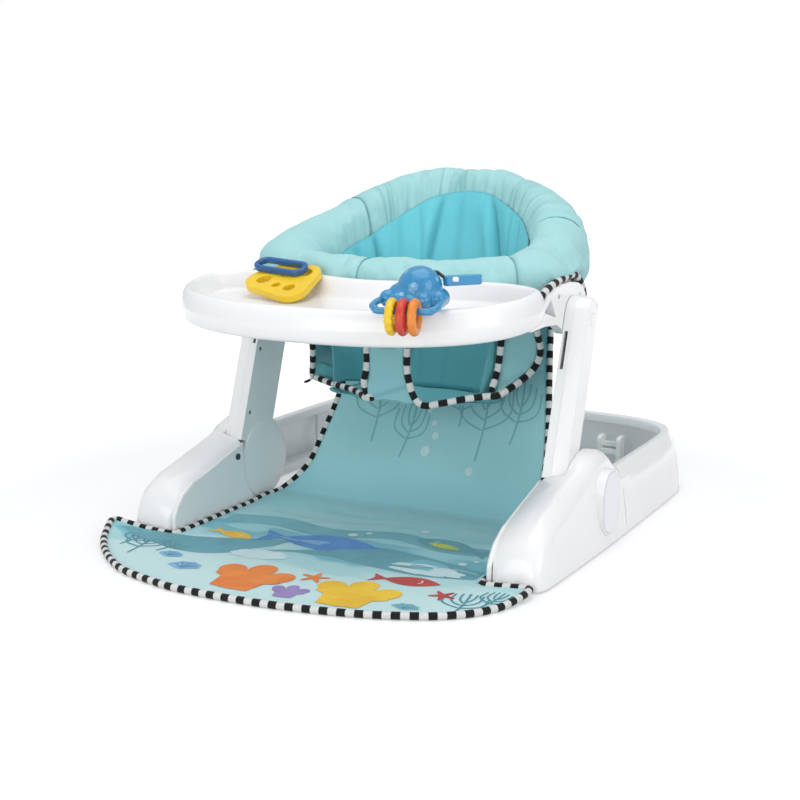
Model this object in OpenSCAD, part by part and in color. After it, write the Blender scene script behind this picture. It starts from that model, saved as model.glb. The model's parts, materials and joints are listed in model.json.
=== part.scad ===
// Baby floor seat: a horseshoe base, two folding legs, a padded seat ring with a
// fabric seat and floor mat, a snack tray and its toys.
// Millimetres. X to the right seen from the front, Y to the back, Z up, floor at z = 0.

/* [Base] */
// Half width of the base at the floor
base_half_w = 264; // [250:1:280]
// Y of the noses of the two front feet
nose_y = -194; // [-205:1:-180]
// Y of the back of the base at the floor
rear_y = 360; // [345:1:370]
// Height of the base rim
rim_h = 80; // [70:1:90]
// How far the base wall leans in between the floor and the rim
wall_draft = 12; // [6:1:16]
// Wall of the base shell
base_wall = 3; // [2.5:0.1:4]
// Width of the rolled rim
lip_w = 14; // [10:1:18]
// Width of the flange round the foot of the wall
flange_w = 26; // [16:1:34]
// Height of the rubber foot pads below the shell
pad_h = 2; // [1.5:0.1:3]
// Diameter of a rubber foot pad
pad_d = 18; // [12:1:22]

/* [Front feet] */
// X of the inner face of a front foot
foot_in_x = 196.6; // [194:0.1:198]
// Thickness of the inner cover of a front foot
cover_t = 2.4; // [2:0.1:3]
// Height of the foot's sloping top where the leg starts
foot_top_h = 85; // [80:1:90]
// Rise of the sloping top for each millimetre of its length
foot_slope = 0.27; // [0.2:0.01:0.3]
// Length of the rounded nose
nose_len = 40; // [30:1:50]
// Radius of the foot's outer shoulder
shoulder_r = 18; // [14:1:24]
// How much higher a foot's top is at its outer side
foot_cant = 8; // [2:1:9]
// Radius of the arch over the hub
arch_r = 57; // [54:0.5:62]

/* [Legs] */
// Height of the fold axis
hub_h = 51.7; // [50:0.1:54]
// Y of the fold axis
hub_y = 0.7; // [-4:0.1:4]
// Radius of a leg's lower disc
disc_r = 50; // [46:0.5:51]
// Lean of the legs, tops to the back
leg_lean = 18.9; // [16:0.1:20]
// Width of a leg strip seen from the side
leg_w = 64; // [58:1:66]
// Distance of the leg's front edge ahead of the fold axis
leg_front = 59.8; // [55:0.1:61]
// Width of the outer face of a leg
leg_face_w = 40; // [34:1:48]
// Depth of a leg across, from inside to outside
leg_t = 26.6; // [24:0.1:28]
// Length of a leg from the fold axis to its top
leg_len = 225; // [220:0.5:230]
// Depth of the leg's inner shell
leg_inner_t = 10; // [8:0.5:12]
// Wall of the leg shells
leg_wall = 2.5; // [2:0.1:3]
// Radius of the fold pivot
pivot_r = 9; // [7:0.5:11]
// Running clearance round a pivot
run_gap = 0.05; // [0.02:0.01:0.09]
// Clearance between neighbouring pieces
gap = 0.3; // [0.25:0.01:0.4]

/* [Seat frame] */
// Y of the seat's tilt axis
knee_y = 26; // [22:0.5:30]
// Height of the seat's tilt axis
knee_h = 252; // [248:0.5:256]
// Radius of the tilt pivot
knee_r = 6; // [5:0.5:7]
// Thickness of a seat bracket
bracket_t = 11.4; // [9:0.1:12]
// Radius of the seat's ring tube
tube_r = 8; // [6:0.5:10]

/* [Seat ring] */
// Half width of the middle of the seat ring
ring_half_w = 158; // [152:1:160]
// Y of the middle of the front of the ring
ring_front_y = -38; // [-44:1:-32]
// Y of the middle of the back of the ring
ring_back_y = 212; // [200:1:220]
// Height of the middle of the ring at its front
ring_front_h = 291; // [286:1:296]
// Height of the middle of the ring at its back
ring_back_h = 352; // [340:1:356]
// Half depth of the padding at the front
pad_front_r = 25; // [22:0.5:27]
// Half width of the padding at the sides
pad_side_r = 42; // [34:1:44]
// Half width of the padding at the rear corners
pad_corner_r = 43; // [36:0.5:44]
// Half height of the padding at the sides
pad_side_h = 34; // [26:1:38]
// Half thickness of the padding at the back
pad_back_r = 33; // [28:0.5:36]
// Half height of the padding at the back
pad_back_h = 58; // [48:1:60]

/* [Fabric] */
// Thickness of the seat fabric
cloth_t = 3; // [2:0.5:4]
// Height of the seat bottom
seat_h = 152; // [146:1:158]
// Half width of the crotch panel
crotch_half_w = 22; // [18:1:26]
// Half width of the floor mat between the feet
mat_in_w = 189.5; // [184:0.5:190]
// Half width of the floor mat in front of the feet
mat_out_w = 262; // [250:1:268]
// Y of the front of the floor mat
mat_front_y = -354; // [-365:1:-345]
// Thickness of the floor mat
mat_t = 3; // [2:0.5:5]
// Radius of the striped piping
piping_r = 3; // [2.5:0.1:3.5]

/* [Tray] */
// Half width of the tray
tray_half_w = 216; // [205:1:218]
// Y of the middle of the tray
tray_y = -105; // [-110:1:-100]
// Distance from the middle of the tray to its front edge
tray_front = 134; // [126:1:138]
// Distance from the middle of the tray to its back corners
tray_back = 68; // [60:1:70]
// Depth of the hollow in the tray's back edge
tray_dent = 38; // [30:1:42]
// Height of the rim at the middle of the tray
tray_rim_h = 294; // [290:0.5:296]
// Height of the tray's apron
apron_h = 37; // [30:1:40]
// Depth of the tray's basin
basin_h = 21; // [16:1:23]
// Width of the tray's rolled rim
tray_lip = 15; // [12:1:18]
// Wall of the tray
tray_wall = 3; // [2.5:0.1:3.5]
// Rise of the tray for each millimetre to the back
tray_slope = 0.1; // [0.08:0.01:0.12]
// How far the tray lifts off
tray_lift = 60; // [30:5:80]

/* [Toys] */
// X of the middle of the rattle
rattle_x = 118; // [112:1:122]
// Y of the middle of the rattle
rattle_y = -203; // [-206:1:-200]
// Turn of the rattle, along the tray's edge
rattle_turn = 14; // [8:1:18]
// Distance of the bar ahead of the rattle's middle
bar_out = 46; // [45:0.5:50]
// Width of the bar's bow
bar_w = 66; // [60:1:72]
// Radius of the bar
bar_r = 3.5; // [3:0.1:4]
// Outer radius of a toy ring
toy_ring_r = 19; // [18:0.5:20]
// Radius of a toy ring's section
toy_ring_t = 4.8; // [4:0.1:5.2]
// Distance between neighbouring toy rings
toy_ring_step = 11.5; // [11:0.1:13]

/* [Hidden] */

SMOOTH = 48;
corner_n = 3.9;                               // squareness of the base's rear corners
corner_y = 200;                               // where the rear corners start
leg_in_x = foot_in_x + cover_t + gap;         // inner face of a leg
leg_out_x = leg_in_x + leg_t;                 // outer face of a leg
cheek_x = leg_out_x + gap;                    // inner face of the cheek beside a leg
slot_r = disc_r + 1.5;                        // radius of the slot round a leg's disc
boss_x = base_half_w - 1;                   // outer face of the hub boss
cap_t = 3;                                    // thickness of a hub cap
cap_half = 10;                                // half distance between a cap's end circles
cap_r = 25;                                   // radius of a cap's ends

function spow(v, p) = sign(v) * pow(abs(v), p);
function mix(a, b, u) = a + (b - a) * u;
function clamp01(u) = min(1, max(0, u));
function ease(u) = let (v = clamp01(u)) v * v * (3 - 2 * v);
function unit(v) = v / norm(v);

// ---- Shared solids -------------------------------------------------------------

// Six times the signed volume inside a list of faces
function vol6(pts, faces) =
  let (v = [for (f = faces) for (k = [1:len(f) - 2]) pts[f[0]] * cross(pts[f[k]], pts[f[k + 1]])])
  v * [for (x = v) 1];
function turned(f) = [for (i = [len(f) - 1:-1:0]) f[i]];

// Closed solid from points and faces, with the faces turned the right way out
module closed(pts, faces) {
  polyhedron(points = pts, faces = vol6(pts, faces) > 0 ? [for (f = faces) turned(f)] : faces, convexity = 8);
}

// Solid through rings of points, each a closed outline; round_trip joins the last to the first
module loft(rings, round_trip = false) {
  n = len(rings[0]);
  m = len(rings);
  steps = round_trip ? m - 1 : m - 2;
  sides = [for (j = [0:steps]) for (i = [0:n - 1])
    let (a = j * n + i, b = j * n + (i + 1) % n,
         c = ((j + 1) % m) * n + i, d = ((j + 1) % m) * n + (i + 1) % n)
    each [[a, b, d], [a, d, c]]];
  caps = round_trip ? [] : [[for (i = [n - 1:-1:0]) i], [for (i = [0:n - 1]) (m - 1) * n + i]];
  closed([for (r = rings) each r], concat(sides, caps));
}

// Tube of radius r along a path; sides is the number of its sides
module tube(path, r, sides = 8, round_trip = false) {
  m = len(path);
  function tangent(j) = round_trip
    ? unit(path[(j + 1) % m] - path[(j + m - 1) % m])
    : unit(path[min(j + 1, m - 1)] - path[max(j - 1, 0)]);
  loft([for (j = [0:m - 1])
    let (t = tangent(j), s = unit(cross(t, [0, 0.02, 1])), u = cross(s, t))
    [for (k = [0:sides - 1]) let (a = 360 * (k + 0.5) / sides)
      path[j] + r * (cos(a) * s + sin(a) * u)]], round_trip);
}

// Sheet of cloth: rows of points on its face, thickened along the vector side
module sheet(rows, side) {
  m = len(rows);
  n = len(rows[0]);
  o = m * n;
  faces = [for (j = [0:m - 2]) for (i = [0:n - 2]) let (a = j * n + i, b = a + 1, c = a + n, d = c + 1)
    each [[a, b, d], [a, d, c], [o + a, o + d, o + b], [o + a, o + c, o + d]]];
  ends = [for (i = [0:n - 2]) let (a = i, b = i + 1, c = (m - 1) * n + i, d = c + 1)
    each [[b, a, o + a], [b, o + a, o + b], [c, d, o + d], [c, o + d, o + c]]];
  edges = [for (j = [0:m - 2]) let (a = j * n, c = a + n, b = a + n - 1, d = b + n)
    each [[a, c, o + c], [a, o + c, o + a], [d, b, o + b], [d, o + b, o + d]]];
  closed(concat([for (r = rows) each r], [for (r = rows) for (p = r) p + side]), concat(faces, ends, edges));
}

module both(right) {
  if (right) children();
  else mirror([1, 0, 0]) children();
}

// ---- Base ----------------------------------------------------------------------

// Top of a front foot above the floor at y: rounded nose, slope, then the arch over the hub
function slope_h(y) = foot_top_h + foot_slope * (y - hub_y + slot_r);
function nose_drop(y) = let (u = clamp01((y - nose_y) / nose_len))
  34 * (1 - sqrt(max(0, 1 - (1 - u) * (1 - u))));
function arch_h(y) = abs(y - hub_y) < arch_r ? hub_h + sqrt(arch_r * arch_r - pow(y - hub_y, 2)) : 0;
function foot_h(y) = y < hub_y - arch_r * 0.8 ? slope_h(y) - nose_drop(y) : max(rim_h - gap, arch_h(y));

// Lean of the outer wall at height z, and the base's half width at the floor at y
function lean_in(z) = wall_draft * pow(clamp01(z / rim_h), 1.6);
function half_w(y) = base_half_w - 0.8e-4 * pow(min(y, 60) - 60, 2);

// Section of a front foot at y, grown inwards by w; x_in is its inner face
function foot_section(y, x_in, w) =
  let (u = clamp01((y - nose_y) / 26), curl = 1 - sqrt(max(0, 1 - (1 - u) * (1 - u))),
       top = foot_h(y) - 2.4 * w, xi = x_in + (w > 0 ? 0 : 8 * curl), xo = half_w(y) - w - 8 * curl,
       ro = min(shoulder_r, top - 5), ri = min(5, top - 5), foot = w > 0 ? -5 : pad_h,
       cant = foot_cant * ease((hub_y - 12 - y) / 40) * clamp01((y - nose_y + 6) / 24),
       steps = w > 0 ? 1 : 4)
  concat([[xi, y, foot], [xi, y, top - ri], [xi + ri, y, top]],
    [for (k = [0:steps]) let (a = 90 - 90 * k / steps, z = top + cant - ro + ro * sin(a))
      [xo - lean_in(z) - ro + ro * cos(a), y, z]],
    [[xo, y, foot]]);

FOOT_Y = [nose_y, nose_y + 3, nose_y + 9, nose_y + 18, nose_y + nose_len, -110, -46, -36, -20,
  hub_y, 22, 38, 50, 62];
HOLLOW_Y = [nose_y + 8, nose_y + 28, -110, -46, hub_y, 42, 53];

module foot_solid(x_in, w) {
  loft([for (y = w > 0 ? HOLLOW_Y : FOOT_Y) foot_section(y, x_in, w)]);
}

// Room for a leg beside the cheek
module leg_slot(grow) {
  x0 = foot_in_x - 20;
  len_x = cheek_x + grow - x0;
  translate([x0, hub_y, hub_h]) rotate([0, 90, 0]) cylinder(r = slot_r + grow, h = len_x, $fn = SMOOTH);
  translate([x0, hub_y, -10]) cube([len_x, 90, 160]);
  translate([x0, hub_y - slot_r - grow - 1, hub_h + 14]) cube([len_x, 90, 80]);
}

module foot_shell() {
  difference() {
    foot_solid(leg_in_x - gap, 0);
    leg_slot(0);
    difference() {
      foot_solid(foot_in_x - 12, base_wall);
      leg_slot(base_wall);
    }
  }
  // floor of the foot, above its rubber pad
  translate([leg_in_x, pad_y - 16, pad_h]) cube([half_w(pad_y) - leg_in_x - 1, 32, base_wall]);
}
pad_y = -120;

// Plan outline of the base at inset d: right side from the hub to the middle of the back
RAIL_STEPS = 11;
rail_start = 57;
function rail_half(d) = concat(
  [for (y = [rail_start, 110, 160]) [half_w(y) - d, y]],
  [for (k = [0:RAIL_STEPS]) let (a = 90 * k / RAIL_STEPS)
    [(half_w(corner_y) - d) * pow(cos(a), 2 / corner_n),
     corner_y + (rear_y - corner_y - d) * pow(sin(a), 2 / corner_n)]]);
function rail_path(d) = let (h = rail_half(d), n = len(h))
  concat(h, [for (i = [n - 2:-1:0]) [-h[i][0], h[i][1]]]);

// Wall section: [inset, z] up the outside, over the rolled rim, down the inside to the flange
function rail_section() = [
  [gap, pad_h], [lean_in(25) + gap, 25], [lean_in(46) + gap, 46], [lean_in(64) + gap, 64],
  [lean_in(64) + 1.6, 65.5], [wall_draft + 1, rim_h - 5], [wall_draft + 4, rim_h - 0.8],
  [wall_draft + 8, rim_h], [wall_draft + lip_w - 1.5, rim_h - 2], [wall_draft + lip_w, rim_h - 6],
  [wall_draft + lip_w, rim_h - 12], [wall_draft + lip_w - 2.5, rim_h - 12],
  [wall_draft + base_wall + 1, rim_h - 6], [lean_in(46) + gap + base_wall, 46],
  [gap + base_wall, 12], [flange_w, 12], [flange_w + 3, 9], [flange_w + 4, pad_h]];

module rail() {
  paths = [for (p = rail_section()) rail_path(p[0])];
  zs = [for (p = rail_section()) p[1]];
  n = len(paths[0]);
  loft([for (i = [0:n - 1]) [for (k = [0:len(zs) - 1]) [paths[k][i][0], paths[k][i][1], zs[k]]]]);
  // upright rib inside each rear corner
  for (s = [-1, 1]) translate([s * (half_w(208) - wall_draft - base_wall - 2) - 2, 206.5, 8])
    cube([4, 3, rim_h - 16]);
}

bush_r = pivot_r + 4;

module stadium(h, r) {
  for (s = [-1, 1]) translate([0, 0, s * cap_half]) rotate([0, 90, 0]) cylinder(r = r, h = h, $fn = SMOOTH);
  translate([0, -r, -cap_half]) cube([h, 2 * r, 2 * cap_half]);
}

// Raised oval round the hub cap
module hub_boss() {
  translate([boss_x - 12, hub_y, hub_h - 1]) stadium(12, cap_r + 3);
}

module base_shell() {
  color("white") difference() {
    union() {
      rail();
      for (s = [true, false]) both(s) {
        foot_shell();
        hub_boss();
      }
    }
    for (s = [true, false]) both(s) {
      translate([boss_x - cap_t - gap, hub_y, hub_h - 1]) stadium(20, cap_r + gap);
      translate([cheek_x - 1, hub_y, hub_h]) rotate([0, 90, 0])
        cylinder(r = bush_r + gap, h = 60, $fn = SMOOTH);
    }
  }
}

// Flat inner cover of a front foot, cut round the leg's disc
module foot_cover(right) {
  ys = [for (y = FOOT_Y) if (y < hub_y - slot_r + 1) y];
  edge = [for (y = ys) [y + (y == nose_y ? 3 : 0), foot_h(y) - 4]];
  outline = concat([[nose_y + 3, pad_h]], edge,
    [[hub_y - slot_r, foot_top_h - 4], [hub_y - slot_r, hub_h], [hub_y, hub_h], [hub_y, pad_h]]);
  color("white") both(right) difference() {
    translate([foot_in_x, 0, 0]) rotate([90, 0, 90]) linear_extrude(cover_t) polygon(outline);
    translate([foot_in_x - 1, hub_y, hub_h]) rotate([0, 90, 0])
      cylinder(r = slot_r, h = cover_t + 2, $fn = SMOOTH);
    translate([foot_in_x - 1, screw_y, screw_z]) rotate([0, 90, 0])
      cylinder(r = screw_hole_r, h = cover_t + 2, $fn = 24);
  }
}

screw_y = hub_y - slot_r - 13;                // screw of a foot's inner cover
screw_z = 66;
screw_hole_r = 2.6;
screw_head_r = 4;

module hub_cap(right) {
  color("ghostwhite") both(right) translate([boss_x - cap_t, hub_y, hub_h - 1]) difference() {
    stadium(cap_t + 0.6, cap_r);
    translate([-1, 0, 0]) stadium(cap_t, cap_r - 3);
  }
}

// Flanged bush in the cheek that carries the leg's pivot
module hub_bush(right) {
  color("gainsboro") both(right) translate([cheek_x + base_wall, hub_y, hub_h]) rotate([0, 90, 0])
    difference() {
      union() {
        translate([0, 0, -base_wall]) cylinder(r = bush_r, h = bush_len, $fn = SMOOTH);
        translate([0, 0, gap]) cylinder(r = bush_r + 5, h = 3, $fn = SMOOTH);
      }
      translate([0, 0, -base_wall - 1]) cylinder(r = pivot_r + run_gap, h = bush_len + 2, $fn = SMOOTH);
    }
}
bush_len = 20;

// Upright clip at the back of the base, that the folded seat rests in
clip_x = 157;
clip_y = corner_y + 0.625 * (rear_y - corner_y);
clip_w = 33;
clip_len = 18;
clip_h = 57;
clip_t = 6;
module clip_profile(top) {
  r = clip_len * 0.45;
  translate([0, pad_h]) square([clip_len, top - pad_h - r]);
  translate([r, pad_h]) square([clip_len - r, top - pad_h]);
  translate([r, top - r]) circle(r = r, $fn = SMOOTH);
}
module rear_clip(right) {
  x0 = clip_x - clip_w / 2;
  y0 = clip_y - clip_len / 2;
  color("whitesmoke") both(right) union() {
    for (x = [x0, x0 + clip_w - clip_t]) translate([x, y0, 0]) rotate([90, 0, 90])
      linear_extrude(clip_t) clip_profile(clip_h);
    translate([x0, y0 + clip_len - clip_t, pad_h]) cube([clip_w, clip_t, clip_h - pad_h - 12]);
    translate([x0, y0, 34]) cube([clip_w, clip_len, clip_t]);
    translate([x0, y0 + clip_len * 0.45, 43]) cube([clip_w, clip_t, clip_t]);
    translate([x0, y0 + 2, 12 + gap]) cube([clip_w, clip_len + 32, 3]);
  }
}

// Rubber pads under the flange and the feet
module foot_pads() {
  color("dimgray") for (s = [true, false]) both(s)
    for (p = [[(foot_in_x + base_half_w) / 2, pad_y], [half_w(130) - 15, 130], [70, rear_y - 17]])
      translate([p[0], p[1], 0]) cylinder(d = pad_d, h = pad_h, $fn = 32);
}

// Pan-head screw along +X at the origin
module screw(len) {
  rotate([0, -90, 0]) cylinder(r = screw_head_r, h = 1.6, $fn = 24);
  rotate([0, 90, 0]) cylinder(r = screw_hole_r - 0.6, h = len, $fn = 24);
}

module base_screws() {
  color("silver") for (s = [true, false]) both(s)
    translate([foot_in_x, screw_y, screw_z]) screw(8);
}

// ---- Fabric on the base --------------------------------------------------------

// Half outline of the mat: along the foot, out in front of it, and round the tongue
function mat_half() = concat(
  [[mat_in_w - 24, 12], [mat_in_w - 8, -12], [mat_in_w, -40], [mat_in_w, nose_y + 10]],
  [[mat_in_w + 1, nose_y - 3], [mat_in_w + 6, nose_y - 7], [mat_in_w + 16, nose_y - 8]],
  [[mat_out_w - 12, nose_y - 7.5]],
  [for (k = [0:9]) let (a = 90 * k / 9)
    [mat_out_w * pow(cos(a), 0.85), nose_y - 16 + (mat_front_y - nose_y + 16) * pow(sin(a), 0.85)]]);
function mat_outline() = let (h = mat_half(), n = len(h))
  concat(h, [for (i = [n - 2:-1:0]) [-h[i][0], h[i][1]]]);

module floor_mat() {
  color("paleturquoise") linear_extrude(mat_t) polygon(mat_outline());
}

// Striped cord sewn on the edge of the mat, flattened where it lies on the floor
module mat_piping() {
  path = [for (p = mat_outline()) [p[0], p[1]]];
  n = len(path);
  pts = [for (i = [0:n - 1]) let (t = unit(path[min(i + 1, n - 1)] - path[max(i - 1, 0)]),
      q = path[i] + (piping_r + gap) * [-t[1], t[0]]) [q[0], q[1], piping_r]];
  color("black") tube(pts, piping_r, 6);
}

// Rising panel behind the seat, from the floor to the ring: [half width, y, z, belly back, belly up]
PANEL = [[160, 12.3, 0.3, 0, 0], [157, 34, 20, 3, 0], [154, 50, 46, 6, 0], [150, 70, 76, 8, 0],
  [144, 88, 106, 10, 0], [138, 103, 140, 12, 0], [132, 118, 180, 14, 3], [127, 132, 218, 20, 10],
  [124, 141, 248, 32, 17], [122, 148, 274.75, 48, 24]];

module back_panel() {
  cols = 12;
  color("paleturquoise") sheet([for (p = PANEL) [for (i = [0:cols]) let (u = 2 * i / cols - 1, b = 1 - u * u)
    [p[0] * u, p[1] + b * p[3], p[2] + pow(b, 1.55) * p[4]]]], [0, cloth_t, 0]);
}

// Striped cord up both edges of the panel
module panel_piping() {
  color("black") for (s = [1, -1])
    tube([for (p = PANEL) [s * (p[0] + piping_r + 2 * gap), p[1] + cloth_t / 2 + (p[2] < 5 ? 3.6 : 0),
      max(p[2], piping_r + gap) - (p[2] > 270 ? 3 : 0)]], piping_r, 6);
}

// ---- Legs ----------------------------------------------------------------------

knee = [knee_y - hub_y, knee_h - hub_h];
// The tilt axis in the leaning leg's own frame
knee_local = [knee[0] * cos(leg_lean) - knee[1] * sin(leg_lean),
              knee[0] * sin(leg_lean) + knee[1] * cos(leg_lean)];
leg_foot = 14;                                // where a leg's strip starts above the fold axis
LEG_SCREWS = [[10 - leg_front, 50], [10 - leg_front, 131], [38, -8], [34, -24]];

// Side view of a leg's strip, w wide, with two round corners of radius r at its top
module leg_strip(w, r, grow) {
  translate([-leg_front - grow, leg_foot]) square([w + 2 * grow, leg_len - leg_foot - r]);
  translate([-leg_front + r, leg_foot]) square([max(0.1, w - 2 * r), leg_len + grow - leg_foot]);
  for (y = [-leg_front + r, -leg_front + w - r]) translate([y, leg_len - r]) circle(r = r + grow, $fn = 32);
}
// Side view of a whole leg: disc and strip
module leg_side(grow) {
  circle(r = disc_r + grow, $fn = 64);
  leg_strip(leg_w, 24, grow);
}

// Draws a side view in the leg's frame and gives it a thickness along +X
module from_side(x, t) {
  translate([x, hub_y, hub_h]) rotate([-leg_lean, 0, 0]) rotate([90, 0, 90]) linear_extrude(t) children();
}

module leg_screw_spots() {
  for (p = LEG_SCREWS) translate(p) children();
}

module leg_inner(right) {
  color("gainsboro") both(right) difference() {
    from_side(leg_in_x, leg_inner_t) leg_side(0);
    from_side(leg_in_x + leg_wall, leg_inner_t) difference() {
      leg_side(-leg_wall);
      circle(r = pivot_r + 5, $fn = SMOOTH);
      translate(knee_local) circle(r = knee_r + 4, $fn = SMOOTH);
      leg_screw_spots() circle(r = 4.5, $fn = 24);
    }
    from_side(leg_in_x - 1, leg_inner_t + 2) {
      circle(r = pivot_r + run_gap, $fn = SMOOTH);
      translate(knee_local) circle(r = knee_r + run_gap, $fn = SMOOTH);
      leg_screw_spots() circle(r = screw_hole_r, $fn = 24);
    }
    // long slot in the front edge
    from_side(leg_in_x + leg_wall, 4) translate([-leg_front - 1, 136]) square([6, 43]);
  }
}

// Outer shell: full width at the seam, narrower and rounded off towards the outside
module leg_outer_body(grow, x0, x1) {
  hull() {
    from_side(x0, 1) leg_strip(leg_w, 24, grow);
    from_side(x1 - 9, 1) leg_strip(leg_w - 5, 22, grow - 1);
    from_side(x1 - 1, 1) leg_strip(leg_face_w - 2, 18, grow - 4);
  }
  from_side(x0, x1 - x0) circle(r = disc_r + grow, $fn = 64);
}

module leg_outer(right) {
  x0 = leg_in_x + leg_inner_t;
  color("white") both(right) difference() {
    leg_outer_body(0, x0, leg_out_x);
    intersection() {
      leg_outer_body(-leg_wall, x0 - 1, leg_out_x - leg_wall);
      difference() {
        translate([x0 - 2, -200, -50]) cube([60, 500, 420]);
        from_side(x0 - 3, 60) {
          circle(r = pivot_r + 5, $fn = SMOOTH);
          translate(knee_local) circle(r = knee_r + 4, $fn = SMOOTH);
          leg_screw_spots() circle(r = 4.5, $fn = 24);
        }
      }
    }
    from_side(x0 - 1, leg_t) {
      circle(r = pivot_r + run_gap, $fn = SMOOTH);
      translate(knee_local) circle(r = knee_r + run_gap, $fn = SMOOTH);
    }
    from_side(x0 - 1, 9) leg_screw_spots() circle(r = screw_hole_r - 0.5, $fn = 24);
  }
}

// Pivot with a head inside the leg, through both leg shells and the bush
module fold_pivot(right) {
  len_x = cheek_x - leg_in_x + bush_len - 2;
  color("silver") both(right) translate([leg_in_x, hub_y, hub_h]) rotate([0, 90, 0]) union() {
    translate([0, 0, 0.5]) cylinder(r = pivot_r, h = len_x, $fn = SMOOTH);
  }
}

module leg_screws(right) {
  color("dimgray") both(right)
    translate([leg_in_x, hub_y, hub_h]) rotate([-leg_lean, 0, 0])
      for (p = LEG_SCREWS) translate([0.6, p[0], p[1]]) rotate([0, 90, 0])
        cylinder(r = screw_hole_r - 0.6, h = leg_inner_t + 4, $fn = 24);
}

// ---- Seat frame ----------------------------------------------------------------

bracket_x = leg_in_x - 2 * gap - bracket_t;   // inner face of a bracket
arm_top = tray_rim_h - apron_h - gap;         // top of a bracket's arm below the middle of the tray
window = [[-33, 279], [-52, 267], [-17, 258]];

function arm_z(y) = arm_top + tray_slope * (y - tray_y);
module bracket_side() {
  polygon([[-90, arm_z(-90) - 8], [-90, arm_z(-90)], [-63, arm_z(-63)], [-59, 268], [-52, 276], [-40, 283.5],
    [-18, 290], [4, 292.5], [27, 293], [50, 290], [66, 284], [75, 275], [74, 266], [60, 252], [36, 238],
    [20, 234], [10, 236], [-2, 244], [-14, 249], [-50, 251.5]]);
}

BRACKET_SCREWS = [[-9, 280], [57, 276]];
module bracket_screw_spots() {
  for (p = BRACKET_SCREWS) translate(p) children();
}

module seat_bracket(right) {
  color("white") both(right) difference() {
    union() {
      translate([bracket_x, 0, 0]) rotate([90, 0, 90]) linear_extrude(bracket_t) difference() {
        bracket_side();
        polygon(window);
      }
      // ledge for the tray's locating block
      translate([bracket_x - 16, -88, 250]) cube([18, 24, 5]);
    }
    translate([bracket_x - 1, 0, 0]) rotate([90, 0, 90]) linear_extrude(bracket_t - 2) difference() {
      intersection() {
        offset(delta = -3) bracket_side();
        translate([-60, 200]) square([200, 100]);
      }
      offset(delta = 3) polygon(window);
      translate([knee_y, knee_h]) circle(r = knee_r + 5, $fn = SMOOTH);
      bracket_screw_spots() circle(r = 4.5, $fn = 24);
    }
    translate([bracket_x - 1, knee_y, knee_h]) rotate([0, 90, 0])
      cylinder(r = knee_r + run_gap, h = bracket_t + 2, $fn = SMOOTH);
    for (p = BRACKET_SCREWS) translate([bracket_x - 1, p[0], p[1]]) rotate([0, 90, 0])
      cylinder(r = screw_hole_r, h = bracket_t + 2, $fn = 24);
  }
}

module bracket_screws() {
  color("silver") for (s = [true, false]) both(s) for (p = BRACKET_SCREWS)
    translate([bracket_x - 8, p[0], p[1]]) rotate([0, 90, 0])
      cylinder(r = screw_hole_r - 0.3, h = bracket_t + 8, $fn = 24);
}

module tilt_pivot(right) {
  color("silver") both(right) translate([bracket_x + 0.5, knee_y, knee_h]) rotate([0, 90, 0])
    cylinder(r = knee_r, h = leg_out_x - leg_wall - bracket_x - 1, $fn = SMOOTH);
}

// Middle line of the seat ring at angle a, 0 at the right side, 90 at the back
ring_mid_y = 30;
function ring_mid(a) =
  let (s = sin(a), x = ring_half_w * spow(cos(a), 0.9),
       y = ring_mid_y + (s > 0 ? ring_back_y - ring_mid_y : ring_mid_y - ring_front_y) * spow(s, 0.9),
       u = (y - ring_front_y) / (ring_back_y - ring_front_y))
  [x, y, mix(ring_front_h, ring_back_h, pow(clamp01(u), 2.2))];
// Half width and half height of the padding at angle a
function ring_w(a) = let (s = sin(a))
  s < 0 ? mix(pad_side_r, pad_front_r, ease(-s))
  : s < 0.55 ? mix(pad_side_r, pad_corner_r, ease((s - 0.06) / 0.49))
  : mix(pad_corner_r, pad_back_r, ease((s - 0.55) / 0.45));
function ring_v(a) = let (s = sin(a))
  s > 0 ? mix(pad_side_h, pad_back_h, ease(s)) : mix(pad_side_h, pad_front_r, ease(-s));
function ring_out(a) = let (d = ring_mid(a + 2) - ring_mid(a - 2)) unit([d[1], -d[0], 0]);

// Ring of points round the middle line, w and v from the middle
function ring_loop(a, w, v, sides) = let (c = ring_mid(a), n = ring_out(a))
  [for (k = [0:sides - 1]) let (b = 360 * (k + 0.5) / sides)
    c + w * spow(cos(b), 0.85) * n + [0, 0, v * spow(sin(b), 0.85)]];

// The same for the padding, whose lower side is pressed flat behind the brackets
function pad_loop(a, g) = let (c = ring_mid(a), lim = bracket_x - 3 * gap)
  [for (p = ring_loop(a, ring_w(a) - g, ring_v(a) - g, 12))
    let (held = p[2] < 296 && abs(p[1] - 26) < 62 && abs(p[0]) > lim - 2.5)
    !held ? p : p[2] < 280 ? [sign(p[0]) * (lim - 2.5), p[1], p[2]] : [sign(p[0]) * lim, p[1], max(p[2], 294.5)]];

// Lug on the ring tube that a bracket is screwed to
module ring_lug(grow) {
  x0 = ring_half_w - 4;
  translate([x0, -14 - grow, 270 - grow]) cube([bracket_x - gap + grow - x0, 80 + 2 * grow, 24 + 2 * grow]);
}

module ring_frame() {
  color("silver") difference() {
    union() {
      loft([for (a = [0:9:351]) ring_loop(a, tube_r, tube_r, 8)], true);
      for (s = [true, false]) both(s) ring_lug(0);
    }
    for (s = [true, false]) both(s) for (p = BRACKET_SCREWS)
      translate([bracket_x - 12, p[0], p[1]]) rotate([0, 90, 0])
        cylinder(r = screw_hole_r - 0.2, h = 14, $fn = 24);
  }
}

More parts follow.
